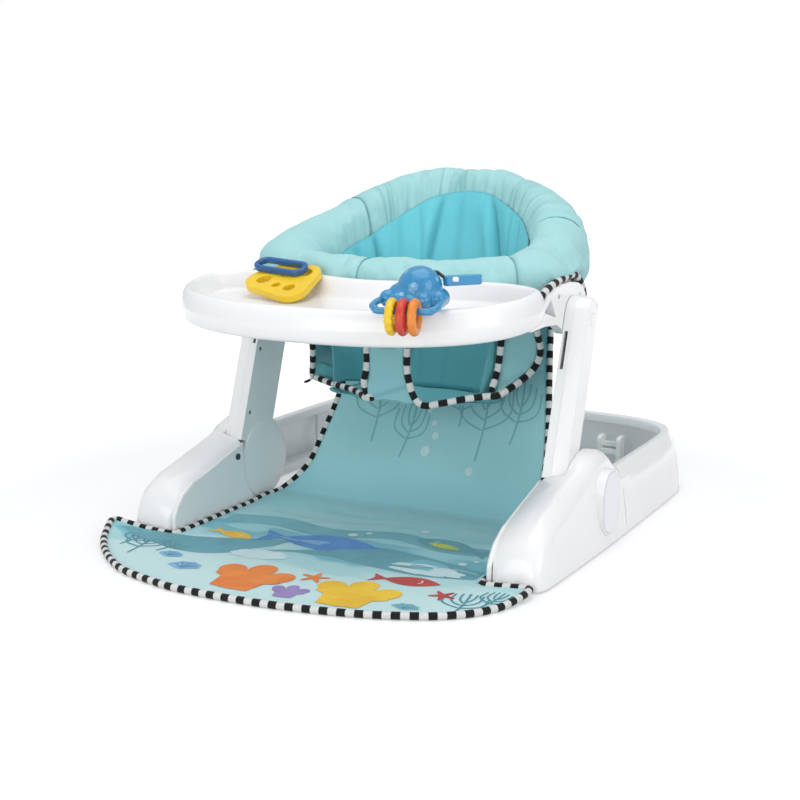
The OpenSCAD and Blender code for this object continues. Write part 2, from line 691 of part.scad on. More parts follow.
// Padding with shallow gathers all round
module ring_pad() {
  stations = 56;
  color("powderblue") difference() {
    loft([for (j = [0:stations - 1]) let (a = 360 * j / stations, g = (j % 2 == 0 ? 1.5 : 0))
      pad_loop(a, g)], true);
    loft([for (a = [0:9:351]) ring_loop(a, tube_r + gap * 2, tube_r + gap * 2, 8)], true);
    for (s = [true, false]) both(s) ring_lug(gap * 2);
  }
}

// ---- Seat fabric ---------------------------------------------------------------

// Wall of the seat at angle a and share v of its depth, from the ring down to the bottom
function lining_pt(a, v, grow) =
  let (b = 42 * ease(sin(a)),
       top = ring_mid(a) - (ring_w(a) * pow(cos(b), 0.85) + 1.2 + 2.4 * ease(sin(a))) * ring_out(a)
         + [0, 0, ring_v(a) * (spow(sin(b), 0.85) - 0.1 * (1 - ease(sin(a))))],
       bottom = [104 * spow(cos(a), 0.8), 33 + 64 * spow(sin(a), 0.8), seat_h - 10 * clamp01(sin(a))],
       in = unit([-cos(a), -sin(a), 0]), fold = 4 * sin(7 * a) * v * (1 - v) * 4)
  mix(top, bottom, pow(v, 1.15)) + (fold + grow) * in + [0, 0, 0];

module seat_lining() {
  cols = 26;
  a0 = -8;
  a1 = 188;
  color("mediumturquoise") union() {
    loft([for (i = [cols:-1:0]) let (a = mix(a0, a1, i / cols))
      concat([for (k = [0:8]) lining_pt(a, k / 8, 0)], [for (k = [8:-1:0]) lining_pt(a, k / 8, cloth_t)])]);
    seat_bottom();
  }
}

// Bottom of the seat: a shallow sagging dish
module seat_bottom() {
  rows = 9;
  sheet([for (j = [0:rows]) let (y = mix(-34, 97, j / rows), dy = (y - 33) / 67,
      hw = 105 * pow(max(0.02, 1 - pow(abs(dy), 2.5)), 0.4))
    [for (i = [0:8]) let (u = i / 4 - 1)
      [hw * u, y, seat_h - 3 - 8 * ease((y + 34) / 120) - 8 * (1 - u * u) * (1 - dy * dy)]]], [0, 0, cloth_t]);
}

// Strap between the legs, from the front of the ring to the seat bottom
module crotch_panel() {
  top_z = ring_front_h - pad_front_r + gap;
  path = [[ring_front_y - 2, top_z], [ring_front_y - 4, 230], [ring_front_y - 3, 195], [ring_front_y, 168],
    [ring_front_y + 3.4, seat_h - 4]];
  color("paleturquoise") sheet([for (p = path)
    let (w = crotch_half_w + 10 * ease((190 - p[1]) / 45)) [for (i = [0:6]) [w * (i / 3 - 1), p[0], p[1]]]],
    [0, -cloth_t, 0]);
}

// Fabric wing beside each leg opening: outer edge and inner edge, from the ring down
WING_OUT = [[164, -8, 261.6], [161, 20, 236], [155, 38, 208], [144, 36, 186], [122, 4, 165]];
WING_IN = [[118, 25, 261.6], [115, 24, 236], [112, 23, 210], [109, 22, 186], [107, 16, 158]];
module side_wing(right) {
  color("paleturquoise") both(right) sheet([for (j = [0:4])
    [for (i = [0:5]) mix(WING_IN[j], WING_OUT[j], i / 5)]], [0, -cloth_t, 0]);
}

// Striped cord along a leg opening: down the crotch panel, round the seat bottom, up the wing
module seat_piping() {
  r = piping_r;
  crotch = [for (z = [265, 240, 215, 190, 172, 154])
    [crotch_half_w + 10 * ease((190 - z) / 45) + r + 3 * gap, ring_front_y - (z < 160 ? 1 : 4), z]];
  hem = [[46, ring_front_y + 1, 148], [64, ring_front_y + 6, 149], [88, -18, 152], [110, -4, 156]];
  wing = [for (j = [4:-1:0]) let (d = WING_OUT[min(j + 1, 4)] - WING_OUT[max(j - 1, 0)])
    WING_OUT[j] + (r + 2 * gap) * unit(cross(d, [0, 1, 0])) - [0, cloth_t / 2, 0]];
  inner = [for (j = [0:3]) WING_IN[j] + [5, [-12, -7.3, -4.9, -4.6][j], j == 0 ? -2 : 0]];
  color("black") for (s = [true, false]) both(s) {
    tube(concat(crotch, hem, wing), r, 6);
    tube(concat(inner, [[119, 6, 171]]), r, 6);
  }
}

// ---- Tray ----------------------------------------------------------------------

// Plan outline of the tray at angle a, drawn in by d
function tray_xy(a, d) =
  let (s = sin(a), x = (tray_half_w - d) * spow(cos(a), 2 / 2.3),
       back = (tray_back - d) * pow(abs(s), 0.7) - tray_dent * exp(-pow(x / 105, 2)) * clamp01(s * 3))
  [x, tray_y + (s > 0 ? back : -(tray_front - d) * pow(abs(s), 2 / 2.3))];
function tray_pt(a, d, z) = let (p = tray_xy(a, d))
  [p[0], p[1], z + tray_rim_h + tray_slope * (p[1] - tray_y)];

// Section of the tray: [drawn in, height below the rim], over the top and back underneath
TRAY_TOP = [[7, -apron_h], [1.5, 7 - apron_h], [0, 16 - apron_h], [1, -13], [3.5, -4], [6, -1], [9, 0],
  [tray_lip - 3, -0.6], [tray_lip, -3], [tray_lip + 5, 4 - basin_h], [tray_lip + 10, -basin_h]];
TRAY_UNDER = [[tray_lip + 9, -basin_h - tray_wall], [tray_lip + 2.4, 2 - basin_h], [tray_lip - 2.6, -5],
  [9, -tray_wall], [5.8, -6], [tray_wall + 1, -14], [tray_wall, 16 - apron_h], [tray_wall + 1.6, 8 - apron_h],
  [7 + tray_wall, -apron_h]];

module tray() {
  stations = 52;
  color("white") loft([for (p = concat(TRAY_UNDER, TRAY_TOP))
    [for (j = [0:stations - 1]) tray_pt(360 * j / stations, p[0], p[1])]]);
}

// Block on each bracket's ledge that keeps the tray from sliding
module tray_clip(right) {
  color("gainsboro") both(right) difference() {
    translate([bracket_x - 15, -87, 255 + gap / 2]) cube([13, 12, 13]);
    translate([bracket_x - 12, -88, 259]) cube([7, 14, 6]);
  }
}

// ---- Toys ----------------------------------------------------------------------

teether_tilt = 23.6;                          // lean of the teether against the tray's rim
teether_pos = [-100, -100, 286];
module teether_outline() {
  hull() {
    translate([-26, -8]) circle(r = 21, $fn = 32);
    translate([24, -15]) circle(r = 19, $fn = 32);
    translate([16, 20]) circle(r = 18, $fn = 32);
    translate([-16, 16]) circle(r = 16, $fn = 32);
  }
}
module teether() {
  color("gold") translate(teether_pos) rotate([teether_tilt, 0, 0]) rotate([0, 0, -12]) difference() {
    linear_extrude(9) teether_outline();
    for (p = [[-24, -8, 9], [20, -14, 7], [0, -14, 5], [-4, 10, 6], [16, 20, 8]])
      translate([p[0], p[1], -1]) cylinder(r = p[2], h = 12, $fn = 32);
  }
}

// Flat oval link that lies on the teether
module teether_link() {
  color("steelblue") translate(teether_pos) rotate([teether_tilt, 0, 0]) translate([-14, 20, 9 + gap])
    rotate([0, 0, -8]) difference() {
      linear_extrude(7) hull() for (x = [-24, 24]) translate([x, 0]) circle(r = 13, $fn = 32);
      translate([0, 0, -1]) linear_extrude(9) hull() for (x = [-24, 24]) translate([x, 0]) circle(r = 7, $fn = 32);
    }
}

// Places the toy on the tray's front edge
rattle_z = tray_rim_h + tray_slope * (rattle_y - 11 - tray_y) + 4 * gap;
bar_z = 3;                                  // height of the bar above the rattle's foot
bar_half = bar_w / 2;
module at_rattle() {
  translate([rattle_x, rattle_y, rattle_z]) rotate([0, 0, rattle_turn]) children();
}

// Smooth rattle: a round body on a foot with a row of big beads
BEADS = [[-26, -3, 9.5], [26, -3, 9.5], [-13, -14, 9], [13, -14, 9], [0, -16, 8], [-23, 12, 9], [25, 11, 10]];
module rattle_body() {
  color("deepskyblue") at_rattle() difference() {
    union() {
      translate([5, 5, 20]) intersection() {
        sphere(r = 23.5, $fn = SMOOTH);
        translate([-30, -30, -14]) cube([60, 60, 60]);
      }
      translate([0, 0, 0.5]) cylinder(r = 22, h = 13, $fn = SMOOTH);
      for (b = BEADS) translate([b[0], b[1], b[2] + 0.4]) sphere(r = b[2], $fn = 32);
    }
    for (s = [-1, 1]) translate([s * bar_half, -20, 9]) rotate([90, 0, 0])
      cylinder(r = bar_r + gap, h = 50, center = true, $fn = 24);
  }
}

// Bow in front of the rattle that the rings hang on
module rattle_bar() {
  bend = 9;
  color("dodgerblue") at_rattle() union() {
    tube(concat([[-bar_half, -2, 9], [-bar_half, -24, 9]],
      [for (k = [0:4]) let (a = 90 * k / 4)
        [-bar_half + bend * (1 - cos(a)), -bar_out + bend - bend * sin(a), mix(7, bar_z, k / 4)]],
      [for (k = [4:-1:0]) let (a = 90 * k / 4)
        [bar_half - bend * (1 - cos(a)), -bar_out + bend - bend * sin(a), mix(7, bar_z, k / 4)]],
      [[bar_half, -24, 9], [bar_half, -2, 9]]), bar_r, 12);
  }
}

module toy_ring(slot, tint) {
  drop = toy_ring_r - 2 * toy_ring_t - bar_r - gap;
  color(tint) at_rattle() translate([slot * toy_ring_step, -bar_out, bar_z - drop]) rotate([0, 90, 0])
    rotate_extrude($fn = 64) translate([toy_ring_r - toy_ring_t, 0]) circle(r = toy_ring_t, $fn = 24);
}

// Tapered clip arm behind the rattle
module rattle_clip() {
  color("royalblue") at_rattle() translate([21.9, 12, 22]) rotate([0, -3, 10])
    linear_extrude(10) hull() {
      translate([13, 0]) circle(r = 7.5, $fn = 32);
      translate([40, 0]) circle(r = 5, $fn = 32);
    }
}

base_shell();
foot_cover(false);  // foot_cover_left
foot_cover(true);  // foot_cover_right
hub_cap(false);  // hub_cap_left
hub_cap(true);  // hub_cap_right
hub_bush(false);  // hub_bush_left
hub_bush(true);  // hub_bush_right
rear_clip(false);  // rear_clip_left
rear_clip(true);  // rear_clip_right
foot_pads();
base_screws();
floor_mat();
mat_piping();
back_panel();
panel_piping();
leg_inner(false);  // leg_inner_left
leg_inner(true);  // leg_inner_right
leg_outer(false);  // leg_outer_left
leg_outer(true);  // leg_outer_right
fold_pivot(false);  // fold_pivot_left
fold_pivot(true);  // fold_pivot_right
leg_screws(false);  // leg_screws_left
leg_screws(true);  // leg_screws_right
seat_bracket(false);  // seat_bracket_left
seat_bracket(true);  // seat_bracket_right
tilt_pivot(false);  // tilt_pivot_left
tilt_pivot(true);  // tilt_pivot_right
ring_frame();
ring_pad();
seat_lining();
crotch_panel();
side_wing(false);  // side_wing_left
side_wing(true);  // side_wing_right
seat_piping();
bracket_screws();
tray();
tray_clip(false);  // tray_clip_left
tray_clip(true);  // tray_clip_right
teether();
teether_link();
rattle_body();
rattle_bar();
rattle_clip();
toy_ring(-1, "gold");  // toy_ring_yellow
toy_ring(0, "tomato");  // toy_ring_red
toy_ring(1, "orange");  // toy_ring_orange
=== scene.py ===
import bmesh
import bpy
import json
import numpy as np
from contextlib import contextmanager
from math import copysign, cos, degrees, exp, hypot, pi, radians, sin
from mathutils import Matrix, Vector, geometry, noise
from mathutils.bvhtree import BVHTree


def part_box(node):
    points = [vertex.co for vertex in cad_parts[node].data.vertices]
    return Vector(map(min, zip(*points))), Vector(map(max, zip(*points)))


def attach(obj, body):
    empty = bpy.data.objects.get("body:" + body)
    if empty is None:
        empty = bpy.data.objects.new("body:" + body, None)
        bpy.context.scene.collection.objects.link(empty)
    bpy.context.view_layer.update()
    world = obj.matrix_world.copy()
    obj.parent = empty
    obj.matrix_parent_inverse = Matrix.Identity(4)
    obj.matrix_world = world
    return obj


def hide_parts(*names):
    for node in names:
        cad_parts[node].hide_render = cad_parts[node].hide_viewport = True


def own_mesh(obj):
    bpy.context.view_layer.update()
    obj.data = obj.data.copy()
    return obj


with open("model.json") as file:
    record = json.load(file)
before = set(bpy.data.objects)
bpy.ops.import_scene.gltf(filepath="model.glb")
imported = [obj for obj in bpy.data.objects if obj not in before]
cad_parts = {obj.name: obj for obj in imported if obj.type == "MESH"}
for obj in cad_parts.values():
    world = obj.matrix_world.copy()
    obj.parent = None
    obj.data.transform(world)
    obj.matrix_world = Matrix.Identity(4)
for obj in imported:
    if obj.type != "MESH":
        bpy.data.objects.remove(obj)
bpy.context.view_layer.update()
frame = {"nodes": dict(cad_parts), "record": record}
NODES = frame["nodes"]
BODY_OF = {n: b for b, ns in frame["record"]["behaviour"]["bodies"].items() for n in ns}
SIDES = ((1, "right"), (-1, "left"))
MM = 0.001
scene = bpy.context.scene


# ---- Small maths ----

def mix(a, b, t):
    return a + (b - a) * t


def clamp01(t):
    return max(0.0, min(1.0, t))


def ease(t):
    t = clamp01(t)
    return t * t * (3 - 2 * t)


def spow(v, p):
    return copysign(abs(v) ** p, v)


def bump(t, centre, width):
    return exp(-((t - centre) / width) ** 2)


def wob(x, y, z, scale):
    """Smooth noise between about -1 and 1, with its features scale millimetres apart."""
    return noise.noise(Vector((x / scale, y / scale, z / scale)))


def unit(v):
    return v / max(np.linalg.norm(v), 1e-9)


def heading(path, i):
    """Unit direction of the path at its point i."""
    return unit(path[min(i + 1, len(path) - 1)] - path[max(i - 1, 0)])


def turns(n):
    """The angles of n equal steps round a circle."""
    return [2 * pi * k / n for k in range(n)]


def turned(points, x0, y0, turn):
    """Flat points turned about the origin, then moved to (x0, y0)."""
    c, s = cos(turn), sin(turn)
    return [(x0 + x * c - y * s, y0 + x * s + y * c) for x, y in points]


def spline(points, per=6):
    """Smooth curve through the points, with per steps between neighbours."""
    p = [np.array(q, float) for q in points]
    out = []
    for i in range(len(p) - 1):
        a, b, c, d = (p[max(0, min(len(p) - 1, j))] for j in (i - 1, i, i + 1, i + 2))
        for t in (k / per for k in range(per)):
            out.append(0.5 * (2 * b + (c - a) * t + (2 * a - 5 * b + 4 * c - d) * t * t
                + (3 * b - a - 3 * c + d) * t ** 3))
    return out + [p[-1]]


def spaced(path, step):
    """The path again with points about step apart."""
    p = np.array(path, float)
    s = np.concatenate([[0], np.cumsum(np.linalg.norm(np.diff(p, axis=0), axis=1))])
    t = np.linspace(0, s[-1], max(2, int(s[-1] / step) + 1))
    return list(np.stack([np.interp(t, s, c) for c in p.T], axis=1))


# ---- Mesh building ----

def setup(thing, **sets):
    for k, v in sets.items():
        setattr(thing, k, v)
    return thing


def put(name, data, place=(0, 0, 0), aim=None):
    """The data as an object in the scene, turned to look at aim where one is given."""
    ob = bpy.data.objects.new(name, data)
    ob.location = place
    if aim is not None:
        ob.rotation_mode = "QUATERNION"
        ob.rotation_quaternion = (Vector(aim) - Vector(place)).to_track_quat("-Z", "Y")
    scene.collection.objects.link(ob)
    return ob


def show(ob, body, slot=None, *nodes):
    if nodes:
        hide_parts(*nodes)
    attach(ob, body)
    return ob


def folds(ob, anchor_z, keep):
    """Give the piece a mesh of its own."""
    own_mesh(ob)


def finish_mesh(me, mat):
    """Smooth shading and one material."""
    me.materials.clear()
    me.materials.append(mat)
    me.polygons.foreach_set("use_smooth", [True] * len(me.polygons))
    return me


def make(name, verts, faces, mat):
    me = bpy.data.meshes.new(name)
    me.from_pydata([tuple(float(c) * MM for c in v) for v in verts], [], faces)
    me.validate()
    return put(name, finish_mesh(me, mat))


def grid_faces(m, n, wrap_m=False, wrap_n=False):
    """Faces between m rows of n points."""
    out = []
    for j in range(m if wrap_m else m - 1):
        for i in range(n if wrap_n else n - 1):
            a, c, k = j * n, (j + 1) % m * n, (i + 1) % n
            out.append((a + i, a + k, c + k, c + i))
    return out


def surface(name, rows, mat, thick=0.0, wrap=False):
    """A surface through rows of points, thickened both ways where thick is given."""
    faces = grid_faces(len(rows), len(rows[0]), wrap, wrap)
    ob = make(name, [p for r in rows for p in r], faces, mat)
    return thicken(ob, thick) if thick else ob


def thicken(ob, thick):
    setup(ob.modifiers.new("cloth", "SOLIDIFY"), thickness=thick * MM, offset=0)
    return ob


def round_edges(ob, width, angle=30):
    setup(ob.modifiers.new("edge", "BEVEL"), width=width * MM, segments=3, limit_method="ANGLE",
        angle_limit=radians(angle))
    return ob


@contextmanager
def editing(me):
    """The mesh as a bmesh, written back at the end."""
    bm = bmesh.new()
    bm.from_mesh(me)
    yield bm
    bm.to_mesh(me)
    bm.free()


def outward(ob):
    with editing(ob.data) as bm:
        bmesh.ops.recalc_face_normals(bm, faces=bm.faces)
    return ob


def paint(ob, **values):
    """Number attributes on the mesh's points, one list of numbers each."""
    for key, v in values.items():
        att = ob.data.attributes.new(key, "FLOAT", "POINT")
        att.data.foreach_set("value", np.array(v, np.float32))
    return ob


def tube(name, path, r, mat, sides=12, start=0.0, round_ends=True, wide=1.0):
    """A cord along the path. Its attribute along_m, the length to each point over wide, sets its stripes."""
    p = [np.array(q, float) for q in path]
    last = len(p) - 1
    verts, along, s = [], [], start
    for j, c in enumerate(p):
        t = heading(p, j)
        if j:
            s += float(np.linalg.norm(c - p[j - 1]))
        else:
            side = np.cross(t, [0.0, 0.02, 1.0])
        side = unit(side - t * (side @ t))
        up = np.cross(side, t)
        end = min(j, last - j)
        rr = r * ([0.55, 0.85, 0.97][end] if round_ends and end < 3 else 1.0)
        for a in turns(sides):
            verts.append(c + rr * (cos(a) * side + sin(a) * up))
            along.append(s / wide * MM)
    faces = grid_faces(last + 1, sides, wrap_n=True)
    faces += [tuple(range(sides)), tuple(last * sides + k for k in reversed(range(sides)))]
    return outward(paint(make(name, verts, faces, mat), along_m=along))


def dome(name, s, centre, profile, n, mat):
    """A low round dome on a side face: (radius, height) pairs from its middle out."""
    x, y, z = centre
    verts = [(s * (x + h), y + r * cos(a), z + r * sin(a)) for r, h in profile for a in turns(n)]
    last = (len(profile) - 1) * n
    faces = grid_faces(len(profile), n, wrap_n=True) + [tuple(range(n)), tuple(range(last, last + n))]
    return outward(make(name, verts, faces, mat))


def baked(ob):
    """The object with its modifiers made part of its mesh."""
    me = bpy.data.meshes.new_from_object(ob.evaluated_get(bpy.context.evaluated_depsgraph_get()))
    ob.modifiers.clear()
    ob.data = me
    return ob


def join(objs, name):
    """One object from several, with their materials kept."""
    main = objs[0]
    with bpy.context.temp_override(active_object=main, selected_editable_objects=objs,
            selected_objects=objs, object=main):
        bpy.ops.object.join()
    main.name = name
    return main


def skin(node, mat, slot, angle=38, bevel=0.0):
    """A smooth-shaded copy of a CAD node's own surface, with rounded edges where bevel is given."""
    me = NODES[node].data.copy()
    with editing(me) as bm:
        bmesh.ops.remove_doubles(bm, verts=bm.verts, dist=2e-5)
        bmesh.ops.dissolve_degenerate(bm, edges=bm.edges, dist=1e-5)
        if bevel:
            bmesh.ops.dissolve_limit(bm, angle_limit=radians(1.0), verts=bm.verts, edges=bm.edges,
                delimit={"NORMAL"})
    if "custom_normal" in me.attributes:
        me.attributes.remove(me.attributes["custom_normal"])
    finish_mesh(me, mat).set_sharp_from_angle(angle=radians(angle))
    ob = put(node + "_skin", me)
    if bevel:
        round_edges(ob, bevel, angle)
    show(ob, BODY_OF[node], slot, node)


# ---- Materials ----

def rgb(code):
    """Linear colour of a hex code."""
    out = []
    for i in (0, 2, 4):
        c = int(code[i:i + 2], 16) / 255
        out.append(c / 12.92 if c <= 0.04045 else ((c + 0.055) / 1.055) ** 2.4)
    return (*out, 1.0)


def darker(code, share):
    return tuple(v * share for v in rgb(code)[:3]) + (1,)


class Nodes:
    """Short forms for building the nodes of a material or world."""

    def __init__(self, owner):
        owner.use_nodes = True
        self.owner = owner
        self.tree = owner.node_tree
        self.tree.nodes.clear()
        self.where = self.add("TexCoord").outputs["Object"]

    def add(self, kind, inputs={}, **sets):
        """A new node with these settings. An input is a value, or a socket or node to link from."""
        n = setup(self.tree.nodes.new("ShaderNode" + kind), **sets)
        for k, v in inputs.items():
            if isinstance(v, bpy.types.Node):
                v = v.outputs[0]
            if isinstance(v, bpy.types.NodeSocket):
                self.tree.links.new(v, n.inputs[k])
            else:
                n.inputs[k].default_value = v
        return n

    def noise(self, scale, detail=3.0, rough=0.5, distortion=0.0, where=None):
        return self.add("TexNoise", {"Scale": scale, "Detail": detail, "Roughness": rough,
            "Distortion": distortion, "Vector": where or self.where}).outputs["Fac"]

    def ramp(self, fac, stops):
        n = self.add("ValToRGB", {0: fac})
        e = n.color_ramp.elements
        while len(e) < len(stops):
            e.new(0.5)
        for el, (pos, col) in zip(e, stops):
            setup(el, position=pos, color=rgb(col) if isinstance(col, str) else col)
        return n.outputs[0]

    def mixed(self, fac, a, b, kind="MIX"):
        return self.add("Mix", {0: fac, 6: a, 7: b}, data_type="RGBA", blend_type=kind).outputs[2]

    def math(self, op, *args):
        return self.add("Math", dict(enumerate(args)), operation=op).outputs[0]

    def span(self, fac, lo, hi, start=0.0, end=1.0):
        return self.add("MapRange", {0: fac, 1: start, 2: end, 3: lo, 4: hi}).outputs[0]

    def turn(self, **sets):
        return self.add("Mapping", {"Vector": self.where, **sets}).outputs[0]

    def attribute(self, name):
        return self.add("Attribute", attribute_name=name).outputs["Fac"]

    def bumps(self, *layers, edge=0.0):
        """Bump layers (height, strength, distance in mm), over a rounded-edge normal if edge is given."""
        under = {"Normal": self.add("Bevel", {"Radius": edge * MM}, samples=4)} if edge else {}
        for height, strength, dist in layers:
            n = self.add("Bump", {"Strength": strength, "Distance": dist * MM, "Height": height, **under})
            under = {"Normal": n}
        return n

    def done(self, shader, out="OutputMaterial"):
        self.add(out, {0: shader})
        return self.owner

    def principled(self, **inputs):
        """The material with a Principled shader of these inputs."""
        return self.done(self.add("BsdfPrincipled", {k.replace("_", " "): v for k, v in inputs.items()}))


def new_material(name):
    return Nodes(bpy.data.materials.new(name))


def moulded(m, base, rough, coat, edge, grain=0.2, spread=0.015):
    return m.principled(Base_Color=base, Coat_Weight=coat, Coat_Roughness=0.14, IOR=1.46,
        Roughness=m.span(m.noise(400, 2), rough - spread, rough + spread),
        Normal=m.bumps((m.noise(1400, 2), grain, 0.012), edge=edge))


def plastic(name, colour, rough=0.3, coat=0.25, edge=0.8, shade=0.985, grain=0.2):
    """Moulded plastic: its colour drifts a little, with a fine grain and small rounded edges."""
    m = new_material(name)
    base = m.ramp(m.noise(6, 2), [(0.3, darker(colour, shade)), (0.7, colour)])
    return moulded(m, base, rough, coat, edge, grain)


def dotted(name, colour, dot):
    """Glossy toy plastic with small pale dots."""
    m = new_material(name)
    cells = m.add("TexVoronoi", {"Scale": 88, "Vector": m.where}).outputs["Distance"]
    spots = m.ramp(cells, [(0.0, dot), (0.2, dot), (0.25, colour), (1.0, colour)])
    deep = m.ramp(m.noise(30, 2), [(0.3, "000000"), (0.7, colour)])
    return moulded(m, m.mixed(0.12, spots, deep), 0.22, 0.5, 0.8, spread=0.02)


def metal(name, colour, rough=0.35):
    m = new_material(name)
    return m.principled(
        Base_Color=m.ramp(m.noise(300, 4), [(0.3, darker(colour, 0.8)), (0.7, colour)]), Metallic=1.0,
        Roughness=m.span(m.noise(700, 2), rough - 0.08, rough + 0.1),
        Normal=m.bumps((m.noise(1500, 2), 0.3, 0.02), edge=0.2))


def weave(m, pitch=1.1):
    """Height of a plain weave: threads that cross, in a coordinate turned off every axis."""
    inputs = {"Scale": 0.314 / (pitch * MM), "Distortion": 0.4, "Vector": m.turn(Rotation=(0.7, 0.35, 0.5))}
    return m.math("MULTIPLY", *(m.add("TexWave", inputs, bands_direction=d).outputs["Fac"] for d in "XY"))


def woven(m, base, deep, colour, share=0.12):
    """The base colour with the weave's threads showing in it."""
    return m.mixed(share, base, m.ramp(weave(m), [(0.1, deep), (0.8, colour)]))


def drifting(m, deep, colour):
    """Woven colour that drifts between two shades."""
    return woven(m, m.ramp(m.noise(7, 4, 0.6), [(0.3, deep), (0.65, colour)]), deep, colour)


def textile(m, base, lo, hi, specular, *layers):
    return m.principled(
        Base_Color=base, Roughness=m.span(m.noise(120, 3), lo, hi), Sheen_Weight=0.18, Sheen_Roughness=0.5,
        Specular_IOR_Level=specular, Normal=m.bumps((weave(m), 0.35, 0.12), *layers))


def cloth(m, colour, wrinkle, fold_scale):
    """Cloth of this colour with small wrinkles, with painted shade where the attribute crease is high."""
    # painted shade: the colour is darkened towards grey-teal where crease is painted into folds, seams and
    # patch edges
    crease = m.mixed(1.0, colour, (0.42, 0.56, 0.6, 1), "MULTIPLY")
    return textile(m, m.mixed(m.attribute("crease"), colour, crease), 0.78, 0.94, 0.25,
        (m.noise(fold_scale, 4, 0.55, 0.8), wrinkle, 1.6),
        (m.noise(fold_scale * 4.5, 3, 0.6, 0.4), wrinkle * 0.6, 0.4))


def fabric(name, colour, deep, wrinkle=0.35, fold_scale=26):
    m = new_material(name)
    return cloth(m, drifting(m, deep, colour), wrinkle, fold_scale)


def gathered(name, colour, deep):
    """The ring's cover: fine folds run across it where the attribute gather is high, with painted shade along
    them.
    """
    m = new_material(name)
    across = m.math("MULTIPLY", m.attribute("across"), 0.12)
    place = m.add("CombineXYZ", {0: m.attribute("around"), 1: across}).outputs[0]
    strong = m.math("MULTIPLY", m.attribute("gather"), m.span(m.noise(30, 1, 0.5, 0, place), 0.2, 1.5))
    folds, depths = [], []
    for scale, sharp in ((40, 13.0), (90, 8.0)):
        away = m.math("ABSOLUTE", m.math("SUBTRACT", m.noise(scale, 1.0, 0.4, 0.0, place), 0.5))
        line = m.math("MINIMUM", m.math("MULTIPLY", away, sharp), 1.0)
        share = m.math("MULTIPLY", strong, 0.45) if folds else strong
        folds.append(m.math("MULTIPLY", m.math("SUBTRACT", 1.0, line), share))
        depths.append(m.math("MULTIPLY", line, strong))
    # painted shade: the colour is darkened along the fold lines and where crease is painted
    shade = m.math("MAXIMUM", m.math("MAXIMUM", *folds), m.attribute("crease"))
    shade = m.math("MULTIPLY", m.math("MINIMUM", shade, 1.0), 0.62)
    base = drifting(m, deep, colour)
    return textile(
        m, m.mixed(shade, base, m.mixed(1.0, base, (0.5, 0.66, 0.68, 1), "MULTIPLY")), 0.74, 0.92, 0.3,
        (depths[0], 0.8, 1.6), (depths[1], 0.5, 0.6), (m.noise(30, 4, 0.55, 0.8), 0.4, 1.8))


def printed_cloth(name):
    """The cloth's ground: pale at the front of the mat, waves of teal behind it, plain aqua on the panel."""
    m = new_material(name)
    xyz = m.add("SeparateXYZ", {0: m.where}).outputs
    flow = m.noise(4.2, 2, 0.45, 1.2, m.turn(Scale=(1.0, 2.6, 1.6)))
    shift = m.math("MULTIPLY_ADD", flow, 0.22, -0.11)
    place = m.math("MULTIPLY_ADD", m.math("ADD", xyz["Y"], shift), 2.2, 0.9)
    pale, light, teal, mid = "c3e2e4", "aad8dd", "74bccb", "9bd4dc"
    bands = m.ramp(place, [
        (0.0, pale), (0.40, pale), (0.43, light), (0.46, light), (0.49, teal), (0.57, teal), (0.59, mid),
        (0.66, mid), (0.68, teal), (0.73, light), (0.80, mid), (0.95, mid)])
    plain = m.ramp(m.noise(5, 2), [(0.3, "9dd3d8"), (0.7, "abdde1")])
    return cloth(m, m.mixed(m.span(xyz["Z"], 0.0, 1.0, 0.012, 0.06), bands, plain), 0.3, 18)


def stripes(name, pitch=17.8, dark="131416", light="e9ecea"):
    """Piping woven in black and white, by the length along the cord."""
    m = new_material(name)
    along = m.attribute("along_m")
    soft = m.math("ADD", m.math("DIVIDE", along, pitch * MM), m.math("MULTIPLY", m.noise(160, 2), 0.06))
    colour = m.ramp(m.math("FRACT", soft), [(0.0, dark), (0.47, dark), (0.5, light), (0.965, light),
        (0.99, dark)])
    thread = m.ramp(weave(m, 0.9), [(0.0, (0.72, 0.72, 0.72, 1)), (0.6, (1, 1, 1, 1))])
    ribs = m.math("SINE", m.math("MULTIPLY", along, 2600.0))
    return m.principled(
        Base_Color=m.mixed(1.0, colour, thread, "MULTIPLY"), Roughness=m.span(m.noise(200, 2), 0.7, 0.9),
        Sheen_Weight=0.1, Specular_IOR_Level=0.3, Normal=m.bumps((weave(m, 0.9), 0.5, 0.2), (ribs, 0.2, 0.1)))


def ink(name, colour, deep):
    """Printed ink on the cloth, which shows the weave through."""
    m = new_material(name)
    base = m.ramp(m.noise(24, 3, 0.6, 0.5), [(0.35, deep), (0.6, colour)])
    return cloth(m, woven(m, base, deep, colour, 0.1), 0.25, 18)


WHITE = plastic("white_plastic", "f4f4f5", 0.24, 0.35, 0.9)
WHITE_IN = plastic("white_plastic_inner", "f0f1f1", 0.32, 0.15, 0.8)
CAP = plastic("satin_cap", "eef0f6", 0.2, 0.5, 0.5)
ACETAL = plastic("acetal", "dcdcda", 0.42, 0.0, 0.4)
RUBBER = plastic("pad_rubber", "2b2b2d", 0.8, 0.0, 0.6, 0.8, 0.6)
STEEL = metal("zinc_steel", "b9bbbe")
DARK_STEEL = metal("dark_screw", "5a5c60", 0.45)
RING = gathered("ring_fabric", "a8d8d9", "9fd2d4")
SEAM = fabric("seam_fabric", "7fb4b7", "74a9ad", 0.1)
LINING = fabric("lining_fabric", "74cfdb", "66c5d2", 0.25, 24)
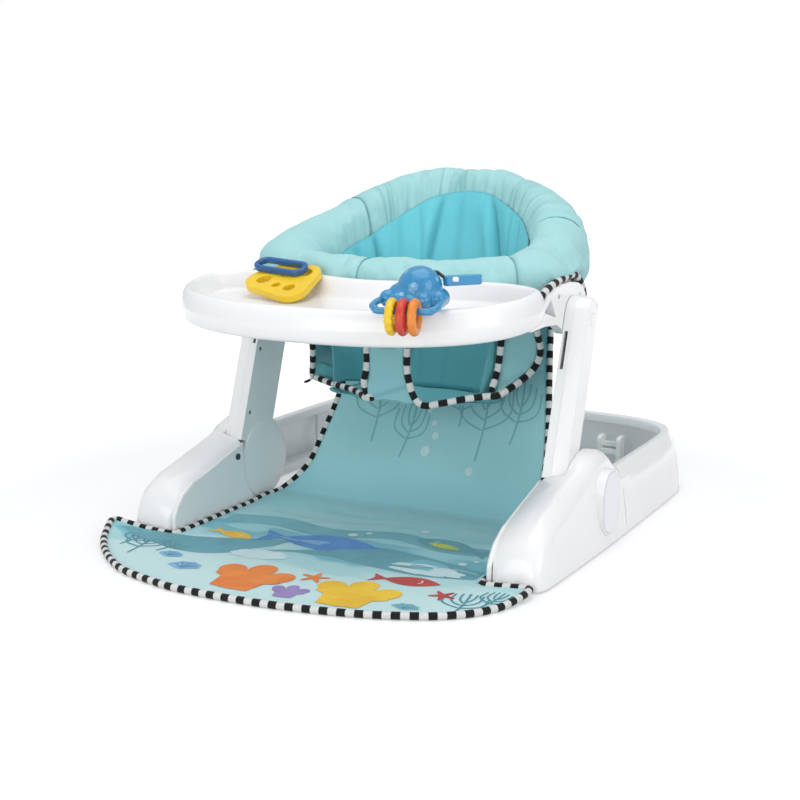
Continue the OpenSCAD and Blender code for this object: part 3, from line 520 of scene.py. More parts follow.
# painted shade: a darker copy of the lining colour for the cloth in the shade under the ring and tray
LINING_SHADED = fabric("lining_painted_shade", "68b0b8", "5ba4ac", 0.4, 24)
MAT = printed_cloth("mat_cloth")
PANEL_PLAIN = fabric("panel_cloth", "9acdd2", "8cc3c9", 0.35, 20)
STRIPES = stripes("striped_piping")
THREAD = fabric("thread", "5f9aa2", "528c95", 0.1)
YELLOW = plastic("toy_yellow", "f7cf1e", 0.3, 0.3, 1.2, 0.92)
NAVY = plastic("toy_dark_blue", "1b5f9e", 0.3, 0.3, 1.0, 0.9)
BLUE = plastic("toy_blue", "3792c6", 0.22, 0.5, 1.0, 0.92)
BLUE_DOTS = dotted("toy_blue_dots", "3792c6", "7fbbe0")
RED = plastic("toy_red", "d6402c", 0.3, 0.3, 1.0, 0.92)
ORANGE = plastic("toy_orange", "ee8d2a", 0.3, 0.3, 1.0, 0.92)
BLACK_WEB = fabric("black_webbing", "26282b", "17181a", 0.2)


# ---- Camera, floor and light ----

scene.camera = put("camera", setup(bpy.data.cameras.new("camera"), lens=62.76, sensor_width=36.0,
    clip_end=50),
    (0.75674, -1.44803, 0.46582), (0, -0.00879, 0.14544))


def floor_material():
    """A floor that the camera sees fade to white, and that the product sees as plain pale grey."""
    m = new_material("floor")
    away = m.add("VectorMath", {0: m.where}, operation="LENGTH").outputs["Value"]
    near = m.add("BsdfDiffuse", {0: (0.62, 0.62, 0.63, 1)})
    glow = m.add("Emission", {0: (1, 1, 1, 1), 1: m.span(away, 0.4, 1.0, 0.5, 1.6)})
    path = m.add("LightPath").outputs
    ray = m.math("MAXIMUM", path["Is Camera Ray"], path["Is Glossy Ray"])
    bounce = m.add("BsdfDiffuse", {0: (0.8, 0.8, 0.8, 1)})
    return m.done(m.add("MixShader", {0: ray, 1: bounce, 2: m.add("AddShader", {0: near, 1: glow})}))


FLOOR_HALF, FLOOR_Z = 9000, -0.4
make("floor", [(x * FLOOR_HALF, y * FLOOR_HALF, FLOOR_Z)
    for x, y in ((-1, -1), (1, -1), (1, 1), (-1, 1))],
    [(0, 1, 2, 3)], floor_material())

scene.world = bpy.data.worlds.new("studio")
w = Nodes(scene.world)
seen = w.add("Background", {0: (1, 1, 1, 1), 1: 1.0})
light = w.add("Background", {0: (0.97, 0.985, 1.0, 1), 1: 0.54})
ray = w.add("LightPath").outputs["Is Camera Ray"]
w.done(w.add("MixShader", {0: ray, 1: light, 2: seen}), "OutputWorld")

for name, place, aim, size, power in (("overhead", (0.1, -0.1, 2.3), (0, 0, 0.1), (2.2, 2.2), 23),
        ("right", (2.2, -0.9, 1.1), (0, 0, 0.2), (1.4, 1.4), 13),
        ("front", (-0.3, -2.8, 0.75), (0, 0, 0.15), (2.2, 1.2), 22)):
    lamp = setup(bpy.data.lights.new(name, "AREA"), shape="RECTANGLE", size=size[0], size_y=size[1],
        energy=power)
    put(name, lamp, place, aim)


# ---- Rigid pieces ----

skin("base_shell", WHITE, "white_plastic")
for mat, slot, angle, stems in ((WHITE, "white_plastic", 38, ("foot_cover", "leg_outer", "seat_bracket")),
        (WHITE_IN, "white_plastic", 38, ("rear_clip", "leg_inner")), (CAP, "satin_cap", 50, ("hub_cap",))):
    for stem in stems:
        for side in ("_left", "_right"):
            skin(stem + side, mat, slot, angle)

COVER_FACE = 199.4  # x of the foot's inner cover
HUB_Y, HUB_Z = 0.7, 51.7
TILT_Y, TILT_Z = 26, 252
DISC = [(0.01, 2.7), (12, 2.65), (24, 2.5), (36, 2.2), (44, 1.8), (47.6, 1.3), (49.4, 0.7), (50.1, 0.0),
    (50.1, -0.25)]
PIVOT_CAP = [(0.01, 0.55), (4.0, 0.52), (6.4, 0.4), (7.6, 0.1), (7.8, -0.5)]


def side_details():
    """Rounded edge of each foot's inner cover, domed face of each leg's disc, cover over each tilt pivot."""
    edge = {}
    for v in NODES["foot_cover_right"].data.vertices:
        x, y, z = (c / MM for c in v.co)
        if y < -60 and z > 14 and x < 197 and z > edge.get(round(y), 0):
            edge[round(y)] = z
    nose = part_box("foot_cover_right")[0][1] / MM
    line = [(nose - 0.6, 3.5), (nose - 0.6, 14)]
    line += [(y + 0.2, z - 0.2) for y, z in sorted(edge.items()) if y > nose - 1]
    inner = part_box("leg_inner_right")[0][0] / MM
    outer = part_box("leg_outer_right")[1][0] / MM
    for s, side in SIDES:
        bead = tube("foot_edge_" + side, spaced([(s * COVER_FACE, y, z) for y, z in line], 2.5), 2.7, WHITE)
        show(bead, BODY_OF["foot_cover_right"], "white_plastic")
        disc = dome("leg_disc_" + side, s, (inner, HUB_Y, HUB_Z), [(r, -h) for r, h in DISC], 96, WHITE_IN)
        show(disc, BODY_OF["leg_inner_" + side], "white_plastic")
    for s, side in SIDES:
        cap = dome("pivot_cap_" + side, s, (outer, TILT_Y, TILT_Z), PIVOT_CAP, 48, WHITE)
        show(cap, BODY_OF["leg_outer_" + side], "white_plastic")


side_details()

# CAD nodes that are shown as they come, with a material
for mat, nodes in ((ACETAL, "hub_bush_left hub_bush_right tray_clip_left tray_clip_right"),
    (RUBBER, "foot_pads"),
        (DARK_STEEL, "base_screws leg_screws_left leg_screws_right"),
        (STEEL, "fold_pivot_left fold_pivot_right tilt_pivot_left tilt_pivot_right ring_frame "
        "bracket_screws")):
    for node in nodes.split():
        o = NODES[node]
        if not o.material_slots:
            o.data.materials.append(mat)
        for s in o.material_slots:
            s.material = mat


# ---- Tray ----

TRAY_W, TRAY_Y, TRAY_F, TRAY_B, TRAY_DENT, TRAY_H, TRAY_SLOPE = 216, -105, 134, 68, 38, 294, 0.1
APRON, BASIN, LIP, WALL = 37, 21, 15, 3


def tray_pt(a, d, z):
    """A point of the tray at angle a, d inside its outline and z above its rim."""
    s = sin(a)
    x = (TRAY_W - d) * spow(cos(a), 2 / 2.3)
    back = (TRAY_B - d) * abs(s) ** 0.7 - TRAY_DENT * exp(-(x / 105) ** 2) * clamp01(s * 3)
    y = TRAY_Y + (back if s > 0 else -(TRAY_F - d) * abs(s) ** (2 / 2.3))
    return (x, y, z + TRAY_H + TRAY_SLOPE * (y - TRAY_Y))


def tray():
    top = [(7, -APRON), (3.4, 2.6 - APRON), (1.2, 8 - APRON), (0, 16 - APRON), (0.4, -17), (1.4, -12),
        (3.0, -6.5), (5.2, -2.6), (8, -0.4), (10.5, 0), (LIP - 2, -1), (LIP, -3.4), (LIP + 2.2, -9),
        (LIP + 4.6, 5.5 - BASIN), (LIP + 7, 1.6 - BASIN), (LIP + 11, 0.1 - BASIN), (LIP + 16, -BASIN)]
    under = [(LIP + 9, -BASIN - WALL), (LIP + 2.4, 2 - BASIN), (LIP - 2.6, -5), (9, -WALL), (5.8, -6),
        (WALL + 1, -14), (WALL, 16 - APRON), (WALL + 1.6, 8 - APRON), (7 + WALL, -APRON)]
    profile = under + spline(top, 3)
    n, middle = 240, -115
    verts = [tray_pt(a, d, z) for d, z in profile for a in turns(n)]
    faces = grid_faces(len(profile), n, wrap_n=True)
    for ring, z in ((0, -BASIN - WALL), (len(profile) - 1, -BASIN)):
        faces += [(ring * n + k, ring * n + (k + 1) % n, len(verts)) for k in range(n)]
        verts.append((0, middle, TRAY_H + z + TRAY_SLOPE * (middle - TRAY_Y)))
    ob = outward(make("tray_shell", verts, faces, WHITE))
    ob.data.set_sharp_from_angle(angle=radians(40))
    show(ob, "tray", "white_plastic", "tray")


tray()


# ---- Seat ring ----

RING_W, RING_F, RING_B, RING_MY = 158, -38, 212, 30
RING_FH, RING_BH = 291, 352
RING_R = 170  # mean radius: angles times this are lengths along the ring
PAD_F, PAD_S, PAD_C, PAD_SH, PAD_B, PAD_BH = 25, 42, 43, 34, 33, 58
BRACKET_X = 187.3
SEAMS = [radians(v) for v in (28, 148, 262, 330)]

# How far the cover stands out and up beyond the padding, and the angle of its inner seam, round the ring
TURNS = [-40, -10, 0, 10, 20, 30, 40, 50, 60, 70, 80, 90, 100, 110, 120, 130, 140, 150, 160, 170, 180, 195,
    215, 320]
COVER_OUT = [0, -1, -1.5, -2, -3, -4, -4, -3, -1, 1, 2.5, 3.5, 4, 4, 4, 4, 4.5, 5, 7, 8.5, 9, 7, 1, 0]
COVER_UP = [0, 0, 1, 2, 2, 1, -1, -3, -4, -2, 1, 3, 3.5, 4, 5, 6.5, 9, 12, 12, 11, 8, 5, 0, 0]
SEAM_AT = [4, 5, 10, 16, 15, 20, 21, 20, 19, 22, 28, 29, 27, 25, 20, 16, 14, 11, 12, 9, 6, 4, 4, 4]


def by_turn(a, table):
    return float(np.interp((degrees(a) + 40) % 360 - 40, TURNS, table))


def ring_mid(a):
    """The ring's centre line at angle a."""
    s = sin(a)
    y = RING_MY + (RING_B - RING_MY if s > 0 else RING_MY - RING_F) * spow(s, 0.9)
    u = (y - RING_F) / (RING_B - RING_F)
    return np.array([RING_W * spow(cos(a), 0.9), y, mix(RING_FH, RING_BH, clamp01(u) ** 2.2)])


def ring_out(a):
    d = ring_mid(a + 0.035) - ring_mid(a - 0.035)
    v = np.array([d[1], -d[0], 0.0])
    return v / np.linalg.norm(v)


def section_out(a, b):
    """Direction out of the ring's section at angle a round the ring and b round the section."""
    return cos(b) * ring_out(a) + np.array([0, 0, sin(b)])


def from_seam(a, seam, width):
    """1 at the seam, falling to 0 with the distance along the ring."""
    return bump(abs((a - seam + pi) % (2 * pi) - pi) * RING_R, 0, width)


def near_seam(a):
    return max(from_seam(a, q, 4.0) for q in SEAMS)


def ring_section(a, b):
    """Width outwards and height of the padding's section with its cover."""
    s = sin(a)
    w = PAD_S + (PAD_F - PAD_S) * ease(-s) + (PAD_C - PAD_S) * ease((s - 0.06) / 0.49)
    w += (PAD_B - PAD_C) * ease((s - 0.55) / 0.45)
    w += by_turn(a, COVER_OUT) if cos(b) > 0 else -11.0 * bump(s, 0.35, 0.5)
    v = PAD_SH + (PAD_BH - PAD_SH) * ease(s) + (PAD_F - PAD_SH) * ease(-s) \
        + by_turn(a, COVER_UP) * max(0.0, sin(b))
    return w * spow(cos(b), 0.85), v * spow(sin(b), 0.88)


def ring_point(a, b, plain=False):
    """A point of the padding's cover at angle a round the ring and b round its section."""
    w, v = ring_section(a, b)
    p = ring_mid(a) + w * ring_out(a) + np.array([0, 0, v])
    if plain:
        return p
    arc = a * RING_R
    inner = clamp01(0.25 - cos(b)) * (1.0 if sin(b) > -0.3 else 0.0)
    groove = (1 - abs(sin(arc / 5.3 + 1.5 * wob(arc, 0, 0, 40)))) ** 2.5 * (0.6 + 0.5 * wob(arc, 9, 0, 14))
    fine = (1 - abs(sin(arc / 2.7 + 2 * wob(arc, 5, 0, 25)))) ** 2 * 0.5
    tight = (3.4 * groove + 1.2 * fine) * inner * (0.3 + 0.9 * ease(sin(a) + 0.1)) + 2.4 * near_seam(a)
    slack = 1.9 * wob(p[0], p[1], p[2] * 1.4, 42) + 1.0 * wob(p[0] + 90, p[1], p[2], 19)
    p = p + (slack - tight) * section_out(a, b)
    # flattened where the brackets hold it
    lim = BRACKET_X - 1.2
    if p[2] < 296 and abs(p[1] - TILT_Y) < 64 and abs(p[0]) > lim - 2.5:
        x = lim - 2.5 if p[2] < 280 else mix(lim - 2.5, lim, clamp01((p[2] - 280) / 14))
        p[0] = copysign(min(abs(p[0]), x), p[0])
    elif abs(p[1] - TILT_Y) < 64 and 296 <= p[2] < 306:
        p[0] = copysign(min(abs(p[0]), lim + (p[2] - 294) * 1.3), p[0])
    return p


def puff_up(ob, pins, frames=18, cap=4.5):
    """Cloth blown up under pressure, with its pins held and no point moved by more than cap millimetres."""
    rest = np.array([v.co for v in ob.data.vertices])
    group = ob.vertex_groups.new(name="pin")
    for w in sorted(set(round(x, 2) for x in pins if x > 0)):
        group.add([i for i, x in enumerate(pins) if round(x, 2) == w], w, "REPLACE")
    mod = ob.modifiers.new("cloth", "CLOTH")
    setup(mod.settings, quality=6, mass=0.25, tension_stiffness=12, compression_stiffness=12,
        shear_stiffness=12,
        bending_stiffness=0.4, use_pressure=True, uniform_pressure_force=3.0, shrink_min=-0.035,
        vertex_group_mass="pin", pin_stiffness=1.5).effector_weights.gravity = 0.0
    mod.collision_settings.use_collision = False
    for f in [1] + list(range(1, frames + 1)):
        scene.frame_set(f)
    done = ob.evaluated_get(bpy.context.evaluated_depsgraph_get()).to_mesh()
    step = np.array([v.co for v in done.vertices]) - rest
    ob.to_mesh_clear()
    size = np.linalg.norm(step, axis=1, keepdims=True)
    step *= np.minimum(1.0, cap * MM / np.maximum(size, 1e-9))
    ob.modifiers.remove(mod)
    ob.vertex_groups.clear()
    ob.data.vertices.foreach_set("co", (rest + step).astype(np.float32).ravel())
    ob.data.update()
    scene.frame_set(1)


def seat_ring():
    m, n = 320, 44
    verts, pins, around, across, gather, crease = [], [], [], [], [], []
    for a in turns(m):
        deg = degrees(a)
        for k in range(n):
            b = 2 * pi * (k + 0.5) / n
            p = ring_point(a, b)
            verts.append(p)
            held = 1.0 if p[2] < 297 and abs(p[1] - TILT_Y) < 66 and abs(p[0]) > 178 or sin(b) < -0.75 else 0.0
            inside = bump(cos(b), -1, 0.12) * (1.0 if sin(a) > 0.2 else 0.4)
            pins.append(max(held, inside, 0.9 * near_seam(a)))
            away = clamp01((pi - radians(by_turn(a, SEAM_AT)) - b) / 2.6) if b < pi else 0.0
            around.append(a * 0.17)
            across.append(b * 0.04)
            gather.append(ease((deg - 26) / 14) * ease((148 - deg) / 6) * (1 - away) ** 0.8
                * (1.0 if b < 3.6 else 0.0)
                + 0.5 * ease((deg - 148) / 6) * ease((176 - deg) / 20) * (1 - away) ** 3)
            # painted shade along the drawn-in seam at 148 degrees
            crease.append(0.7 * from_seam(a, SEAMS[1], 2.6))
    ob = outward(make("seat_ring", verts, grid_faces(m, n, True, True), RING))
    paint(ob, around=around, across=across, gather=gather, crease=crease)
    puff_up(ob, pins)
    setup(ob.modifiers.new("smooth", "SUBSURF"), levels=1, render_levels=1)
    show(ob, "seat", "ring_fabric", "ring_pad")


def ring_seams():
    """Stitched seams across the ring's cover."""
    parts = [tube("seam", [ring_point(q, b) + 1.3 * section_out(q, b)
        for b in np.linspace(radians(-40), radians(215), 40)], 0.7, SEAM, 6) for q in SEAMS]
    show(join(parts, "ring_seams"), "seat", "ring_fabric")


seat_ring()
ring_seams()


# ---- Lining and the seat's bottom ----

SEAT_H = 152

# Folds of the lining: degrees round the ring at the top, degrees they drift on the way down, width,
# depth, painted shade in the fold
FOLDS = [(78, -43, 2.4, -10, 0.85), (84, -43, 6, 6, 0.0), (72, -40, 6, -3, 0.35), (103, 8, 2.2, -7, 0.6),
    (110, 6, 5, 5, 0.0), (148, -22, 1.8, -6, 0.7), (142, -20, 5, 5, 0.0), (117, -17, 2.0, -4, 0.3),
    (93, -4, 1.8, -3, 0.25), (60, -14, 1.6, -3, 0.3), (48, -8, 1.6, -3, 0.25), (37, -4, 1.6, -3, 0.25),
    (130, -12, 2.2, -3, 0.2), (160, -14, 2.5, -4, 0.3)]


def lining_pt(a, v):
    """A point of the lining at angle a and at v of its way down: it leaves the ring at a seam."""
    s, deg = sin(a), degrees(a)
    top = ring_point(a, pi - radians(by_turn(a, SEAM_AT)), True) - 1.4 * ring_out(a)
    bottom = np.array([106 * spow(cos(a), 0.8), 33 + 64 * spow(s, 0.8), SEAT_H - 9 * clamp01(s)])
    fold = 2.0 + 2.5 * sin(7 * a) + sum(deep * bump(deg, at + drift * v, wide)
        for at, drift, wide, deep, _ in FOLDS)
    fold += 1.4 * wob(deg * 2.2, v * 90, 0, 24)
    pucker = 1.1 * (1 - abs(sin(deg * 0.9 + 1.5 * wob(deg, 0, 3, 9)))) ** 2 \
        * clamp01(1 - v * 5) * clamp01(v * 30)
    inward = fold * clamp01(v * 4.5) * clamp01((1 - v) * 5) + pucker + 1.5 * clamp01(v * 8)
    return mix(top, bottom, v ** 1.1) + inward * np.array([-cos(a), -s, 0.0])


def painted_lining_shade(a, v):
    # painted shade: darker inside the folds, and in a narrow band at the top where the lining meets the ring
    dark = max(shade * bump(degrees(a), at + drift * v, wide * 0.75) for at, drift, wide, _, shade in FOLDS)
    return min(1.0, dark * clamp01(v * 14) * clamp01(1.6 - v) + 0.5 * clamp01(1 - v * 40))


def seat_bottom(n=31):
    rows = []
    for y in np.linspace(-36, 98, n):
        dy = (y - 31) / 67.5
        half = 109 * max(0.03, 1 - abs(dy) ** 2.5) ** 0.4
        z = SEAT_H - 1.8 - 8 * ease((y + 34) / 120)
        rows.append([
            (x, y, z - 8 * (1 - (x / half) ** 2) * (1 - dy * dy) + 2.2 * wob(x, y, 0, 30)
                + 0.9 * wob(x, y, 4, 13))
            for x in np.linspace(-half, half, n)])
    # the seat's bottom in the lining's painted-shade copy
    return surface("bottom", rows, LINING_SHADED)


def lining(cols=300, rows=44, cut=24):
    parts = []
    # painted shade: the rows below cut take the darker copy of the lining colour
    for j0, j1, mat in ((0, cut, LINING), (cut, rows, LINING_SHADED)):
        at = [
            (a, j / rows) for j in range(j0, j1 + 1) for a in np.linspace(radians(-24), radians(204),
            cols + 1)]
        part = make("lining", [lining_pt(a, v) for a, v in at], grid_faces(j1 - j0 + 1, cols + 1), mat)
        parts.append(paint(part, crease=[painted_lining_shade(a, v) for a, v in at]))
    ob = outward(join(parts + [seat_bottom()], "seat_lining_cloth"))
    with editing(ob.data) as bm:
        bmesh.ops.remove_doubles(bm, verts=bm.verts, dist=1e-6)
    show(thicken(ob, 1.4), "seat", "lining_fabric", "seat_lining")
    folds(ob, 0.34, 0.7)


lining()


# ---- Crotch panel, wings and their piping ----

def hang(ob, anchor_z, slot, *nodes):
    folds(show(ob, "seat", slot, *nodes), anchor_z, 0.5)
    return ob


def crotch_y(z, x=None):
    """The crotch panel's y at a height, with its curve across where x is given."""
    y = float(np.interp(-z, [-266.3, -230, -195, -168, -148], [-41.5, -43.5, -42.5, -39.5, -36.0]))
    return y if x is None else y + 1.2 * cos(x / 22 * 1.5)


def crotch_half(z):
    return 22 + 10 * ease((190 - z) / 45)


def crotch():
    rows = []
    for z in np.linspace(266, 148.5, 50):
        w = crotch_half(z)
        rows.append([(w * u, crotch_y(z) + 0.9 * wob(w * u, z, 5, 20) + 1.2 * cos(u * 1.5), z)
            for u in np.linspace(-1, 1, 22)])
    cloth = surface("crotch_cloth", rows, PANEL_PLAIN, 2.0)
    # painted shade: a soft dark line round the sewn patch's edges and along a slanting line low on the panel
    paint(cloth, crease=[0.75 * bump(max(abs(x) - 10, abs(z - 227.5) - 13.5), 0.4, 1.5)
        + 0.5 * bump(z - 160 - 0.35 * x, 0, 2.5) for r in rows for x, _, z in r])
    hang(cloth, 0.266, "mat_fabric", "crotch_panel")
    # sewn square patch with its stitches
    rows = [[(x, crotch_y(z, x) - 1.6, z) for x in np.linspace(-10, 10, 10)]
        for z in np.linspace(241, 214, 12)]
    parts = [baked(surface("patch", rows, PANEL_PLAIN, 1.0))]
    corners = [(-8.6, 239.5), (8.6, 239.5), (8.6, 215.5), (-8.6, 215.5), (-8.6, 239.5)]
    for (xa, za), (xb, zb) in zip(corners, corners[1:]):
        k = int(hypot(xb - xa, zb - za) / 3.2)
        for i in range(k):
            at = [(mix(xa, xb, s / k), mix(za, zb, s / k)) for s in (i + 0.2, i + 0.5, i + 0.8)]
            parts.append(tube("stitch", [(x, crotch_y(z, x) - 2.4, z) for x, z in at], 0.45, THREAD, 6,
                round_ends=False))
    hang(join(parts, "crotch_patch"), 0.266, "mat_fabric")


crotch()

WING_OUT = [(159, -8, 261.6), (157, 20, 236), (155, 38, 208), (144, 36, 186), (122, 4, 165)]
WING_IN = [(118, 25, 261.6), (115, 24, 236), (112, 23, 210), (109, 22, 186), (107, 16, 158)]
# The left wing hangs folded back along the seat's side
LEFT_OUT = [(158, -8, 262), (146, 4, 236), (132, 8, 208), (138, 21, 180), (146, 33, 158)]
LEFT_IN = [(150, 60, 262), (145, 62, 236), (138, 60, 208), (126, 58, 184), (112, 46, 162)]
HEM = [(46, -37, 148), (64, -32, 151), (88, -18, 156), (110, -4, 159)]
LEFT_HEM = [(34, -35, 150.5), (46, -24, 152), (69, -8, 153), (105, 11, 153), (128, 23, 154.5)]


def wings():
    for (s, side), inner, outer in zip(SIDES, (WING_IN, LEFT_IN), (WING_OUT, LEFT_OUT)):
        rows = []
        for p, q in zip(spline(inner, 8), spline(outer, 8)):
            row = []
            for u in np.linspace(0, 1, 24):
                x, y, z = mix(p, q, u)
                dip = 3.0 * sin(pi * u) * (0.6 + 0.4 * wob(x, z, 3 * s, 40))
                row.append((s * x, y - 1.5 + dip + 0.8 * wob(x * s, y, z, 16), z))
            rows.append(row)
        ob = hang(surface("side_wing_cloth_" + side, rows, PANEL_PLAIN, 2.0), 0.2616, "mat_fabric",
            "side_wing_" + side)


def gussets():
    """Cloth from the hem back to the seat's bottom and the lining's sides."""
    low = [(30, -24, 147), (44, -22, 146), (66, -10, 146), (86, 4, 146), (100, 16, 148), (105, 30, 154),
        (107, 44, 170)]
    right = [(34, -38, 149)] + HEM + [(122, 4, 163), (140, 32, 182)]
    left = [(30, -35, 149)] + LEFT_HEM[1:] + [(142, 31, 158), (138, 30, 176)]
    parts = []
    for s, edge in ((1, right), (-1, left)):
        rows = []
        for p, q in zip(spaced(spline(edge), 4), spaced(spline(low), 3.2)):
            rows.append([(s * x, y, z - 2.5 * sin(pi * u) + 1.2 * wob(x * s, y, z, 14))
                for u in np.linspace(0, 1, 12) for x, y, z in (mix(p, q, u),)])
        # the gussets in the lining's painted-shade copy
        parts.append(surface("gusset", rows, LINING_SHADED))
    ob = thicken(hang(join(parts, "seat_gussets"), 0.2616, "lining_fabric"), 1.4)


def cord(path, step, r, sides=12, **more):
    return tube("cord", spaced(path, step), r, STRIPES, sides, **more)


def seat_cords():
    """Piping round the leg openings, and its small folded end at the left corner."""
    r = 4.0
    crotch_edge = [(crotch_half(z) + r + 0.5, -38 - (1 if z < 160 else 4), z)
        for z in (265, 240, 215, 190, 172, 156)]
    out = [np.array(p, float) for p in WING_OUT]
    wing = [out[j] + (r + 0.6) * unit(np.cross(heading(out, j), [0, 1, 0])) - np.array([0, 1.5, 0])
        for j in (4, 3, 2, 1, 0)]
    inner = [(x + 5, y + dy, z - dz)
        for (x, y, z), dy, dz in zip(WING_IN, (-12, -7.3, -4.9, -4.6), (2, 0, 0, 0))]
    runs = {1: [crotch_edge + HEM + wing, inner + [(112, 4, 163)]],
        -1: [crotch_edge[:-1] + [(30, -36, 156), (20, -35, 150)],
        [(20, -36, 150)] + LEFT_HEM + [(142, 30, 155)],
        [(146.5, 33, 152), (146, 32, 160)] + [(x, y - 1, z) for x, y, z in reversed(LEFT_OUT[:4])]]}
    parts = [cord(spline([(s * x, y, z) for x, y, z in run], 8), 2.2, r, start=5.0 * k, wide=1.15)
        for s, side in runs.items() for k, run in enumerate(side)]
    parts.append(cord([(-144, 31, 154), (-152, 30, 149), (-157, 29, 147.5)], 1.5, 1.7, 10, start=12.0))
    hang(join(parts, "seat_cords"), 0.262, "striped_cord", "seat_piping")


def bracket_cords():
    """Striped piping of the cover where it is cut out round the brackets."""
    edge = [(-84, 262), (-72, 268), (-60, 275), (-46, 283), (-32, 288), (-16, 292), (4, 295.5), (24, 298),
        (42, 299),
        (58, 297), (70, 291.5), (80, 283), (86, 273), (88, 262)]
    parts = [cord(spline([(s * 191.8, y, z) for y, z in edge]), 2.2, 4.3, wide=1.12) for s in (1, -1)]
    show(join(parts, "bracket_cords"), "seat", "striped_cord")


wings()
gussets()
seat_cords()
bracket_cords()


# ---- Mat and back panel: one cloth from the front of the mat to the ring ----

# Rows of the mat: left x, right x, y
FRONT = [(-72, 6, -351.5), (-112, 70, -344), (-158, 131, -330), (-192, 183, -309), (-222, 218, -283),
    (-248, 236, -254), (-263, 244, -230), (-273, 247, -212), (-276, 246, -203.5)]
INNER = [(-190, 190, -202), (-189.5, 189.5, -190), (-189.5, 189.5, -150), (-189.5, 189.5, -90),
    (-189, 189, -40), (-189, 189, -12), (-187.5, 187.5, 4)]
# Rows of the panel: half width, y, z, belly back, belly up
PANEL = [(184, 18, 6.5, 0, 0), (174.5, 30, 16, 3, 0), (163, 40, 30, 5, 0), (155, 50, 46, 6, 0),
    (150, 70, 76, 8, 0),
    (144, 88, 106, 10, 0), (138, 103, 140, 12, 0), (132, 118, 180, 14, 3), (127, 132, 218, 20, 10),
    (124, 141, 248, 32, 17), (122, 148, 275.1, 48, 24)]
# The cord's line beside the feet and round their noses
CORD_IN = [(207, -204), (196, -203), (190.5, -197), (189.5, -184), (189.5, -150), (189.5, -90), (189, -40),
    (189, -12),
    (187.5, 4)]


def mat_lift(x, y):
    """Height of the mat's top above the floor: it lies in low waves, and its free corners rise a little."""
    edge = clamp01((-200 - y) / 160)
    wave = 1.6 * wob(x, y, 0, 95) + 0.7 * wob(x + 40, y, 8, 38)
    corner = 7 * bump(hypot(x + 285, y + 205), 0, 46) + 4 * bump(hypot(x - 250, y + 205), 0, 34)
    return max(1.4, 3.0 + wave * (0.5 + 0.8 * edge) + corner + 2.2 * bump(y, -8, 26))


def wider(z):
    """How far the panel's right edge hangs out past its left one."""
    return 3.0 * ease((z - 20) / 50) * (1 - ease((z - 250) / 20))


def cloth_rows(cols=111):
    rows = [
        [(x, y, mat_lift(x, y)) for x in np.linspace(l, r, cols)]
        for l, r, y in spline(FRONT, 7) + spline(INNER, 9)]
    for half, y, z, back, up in spline(PANEL, 9):
        row = []
        for u in np.linspace(-1, 1, cols):
            x = mix(-half, half + wider(z), (u + 1) / 2)
            b = 1 - u * u
            fold = 3.0 * wob(x * 0.6, z * 0.25, 2, 26) * ease((z - 4) / 60)
            fold += 1.2 * wob(x, z * 0.5, 7, 11) * ease((z - 150) / 80)
            row.append((x, y + b * back + 1.0 + fold * b ** 0.5 + 4 * bump(z, 34, 20) * b,
                z + b ** 1.55 * up - (1.5 if z > 270 else 0)))
        rows.append(row)
    return rows


rows = cloth_rows()
tree = BVHTree.FromPolygons([Vector(p) for r in rows for p in r], grid_faces(len(rows), len(rows[0])))
big = baked(thicken(outward(surface("mat_cloth", rows, MAT)), 2.0))
show(big, "base", "mat_fabric", "floor_mat", "back_panel")


def on_mat(x, y, lift):
    hit = tree.ray_cast(Vector((x, y, 200 if y < 12 else 30)), Vector((0, 0, -1)))
    return (x, y, (hit[0].z if hit[0] is not None else 3.0) + lift)


def on_panel(x, z, lift=1.5):
    hit = tree.ray_cast(Vector((x, -60, z)), Vector((0, 1, 0)))
    return (x, hit[0].y - lift, z) if hit[0] is not None else None


def mat_cords():
    """One cord round the whole cloth, cut where the panel rises from the floor."""
    step = 2.2
    edge = [(-x, y) for x, y in reversed(CORD_IN)] + [(-238, -204), (-266, -204)] \
        + [(l, y) for l, r, y in reversed(FRONT)] + [(r, y) for l, r, y in FRONT] + [(238, -203.6)] + CORD_IN
    edge = spaced(spline(edge), 3.0)
    mat = []
    for i, (x, y) in enumerate(edge):
        t = heading(edge, i)
        q = edge[i] + 3.0 * np.array([t[1], -t[0]])
        if abs(q[0]) > 184 and y > -197.5:
            q[0] = copysign(min(abs(q[0]), 192.2), q[0])
        mat.append((q[0], q[1], max(3.7, mat_lift(x, y) + 0.6)))
    left, right = ([(s * min(p[0] + 3.8 + more * wider(p[2]), 192), p[1] + 1.0, p[2]) for p in PANEL]
        for s, more in ((-1, 0), (1, 1)))
    path = spaced(spline(left[::-1] + mat + right, 3), step)
    low = [i for i, p in enumerate(path) if p[1] < 12]
    a, b = low[0], low[-1]
    return [tube("cord", run, 3.9, STRIPES, start=start * step, round_ends=False)
        for run, start in ((path[:a + 1], 0), (path[a:b + 1], a), (path[b:], b))]


left_run, mat_cord, right_run = mat_cords()
mat_cord.name = "mat_cord"
side_cords = join([left_run, right_run], "panel_cords")
show(mat_cord, "base", "striped_cord", "mat_piping")
show(side_cords, "base", "striped_cord", "panel_piping")
folds(side_cords, 0, 0.12)


# ---- Print on the cloth: plain sea-floor motifs ----

INKS = {"teal": ("62a7b5", "5a9dac"), "mid_teal": ("74b6c2", "69abb8"), "weed": ("4f97a6", "478c9b"),
    "pale": ("d3e9ec", "c4dfe4"), "faint": ("87c0c6", "80b9bf"), "yellow": ("f3c81c", "e6b512"),
    "orange": ("ef8a2c", "e0741f"), "red": ("c23a36", "a92d2d"), "blue": ("4f93d2", "3f7fc4"),
    "violet": ("9a86bf", "8b76b2"), "shell": ("86b7e0", "6fa3d2"), "lime": ("c9d24a", "b3c03a"),
    "glint": ("b4dfe4", "a4d5dc")}


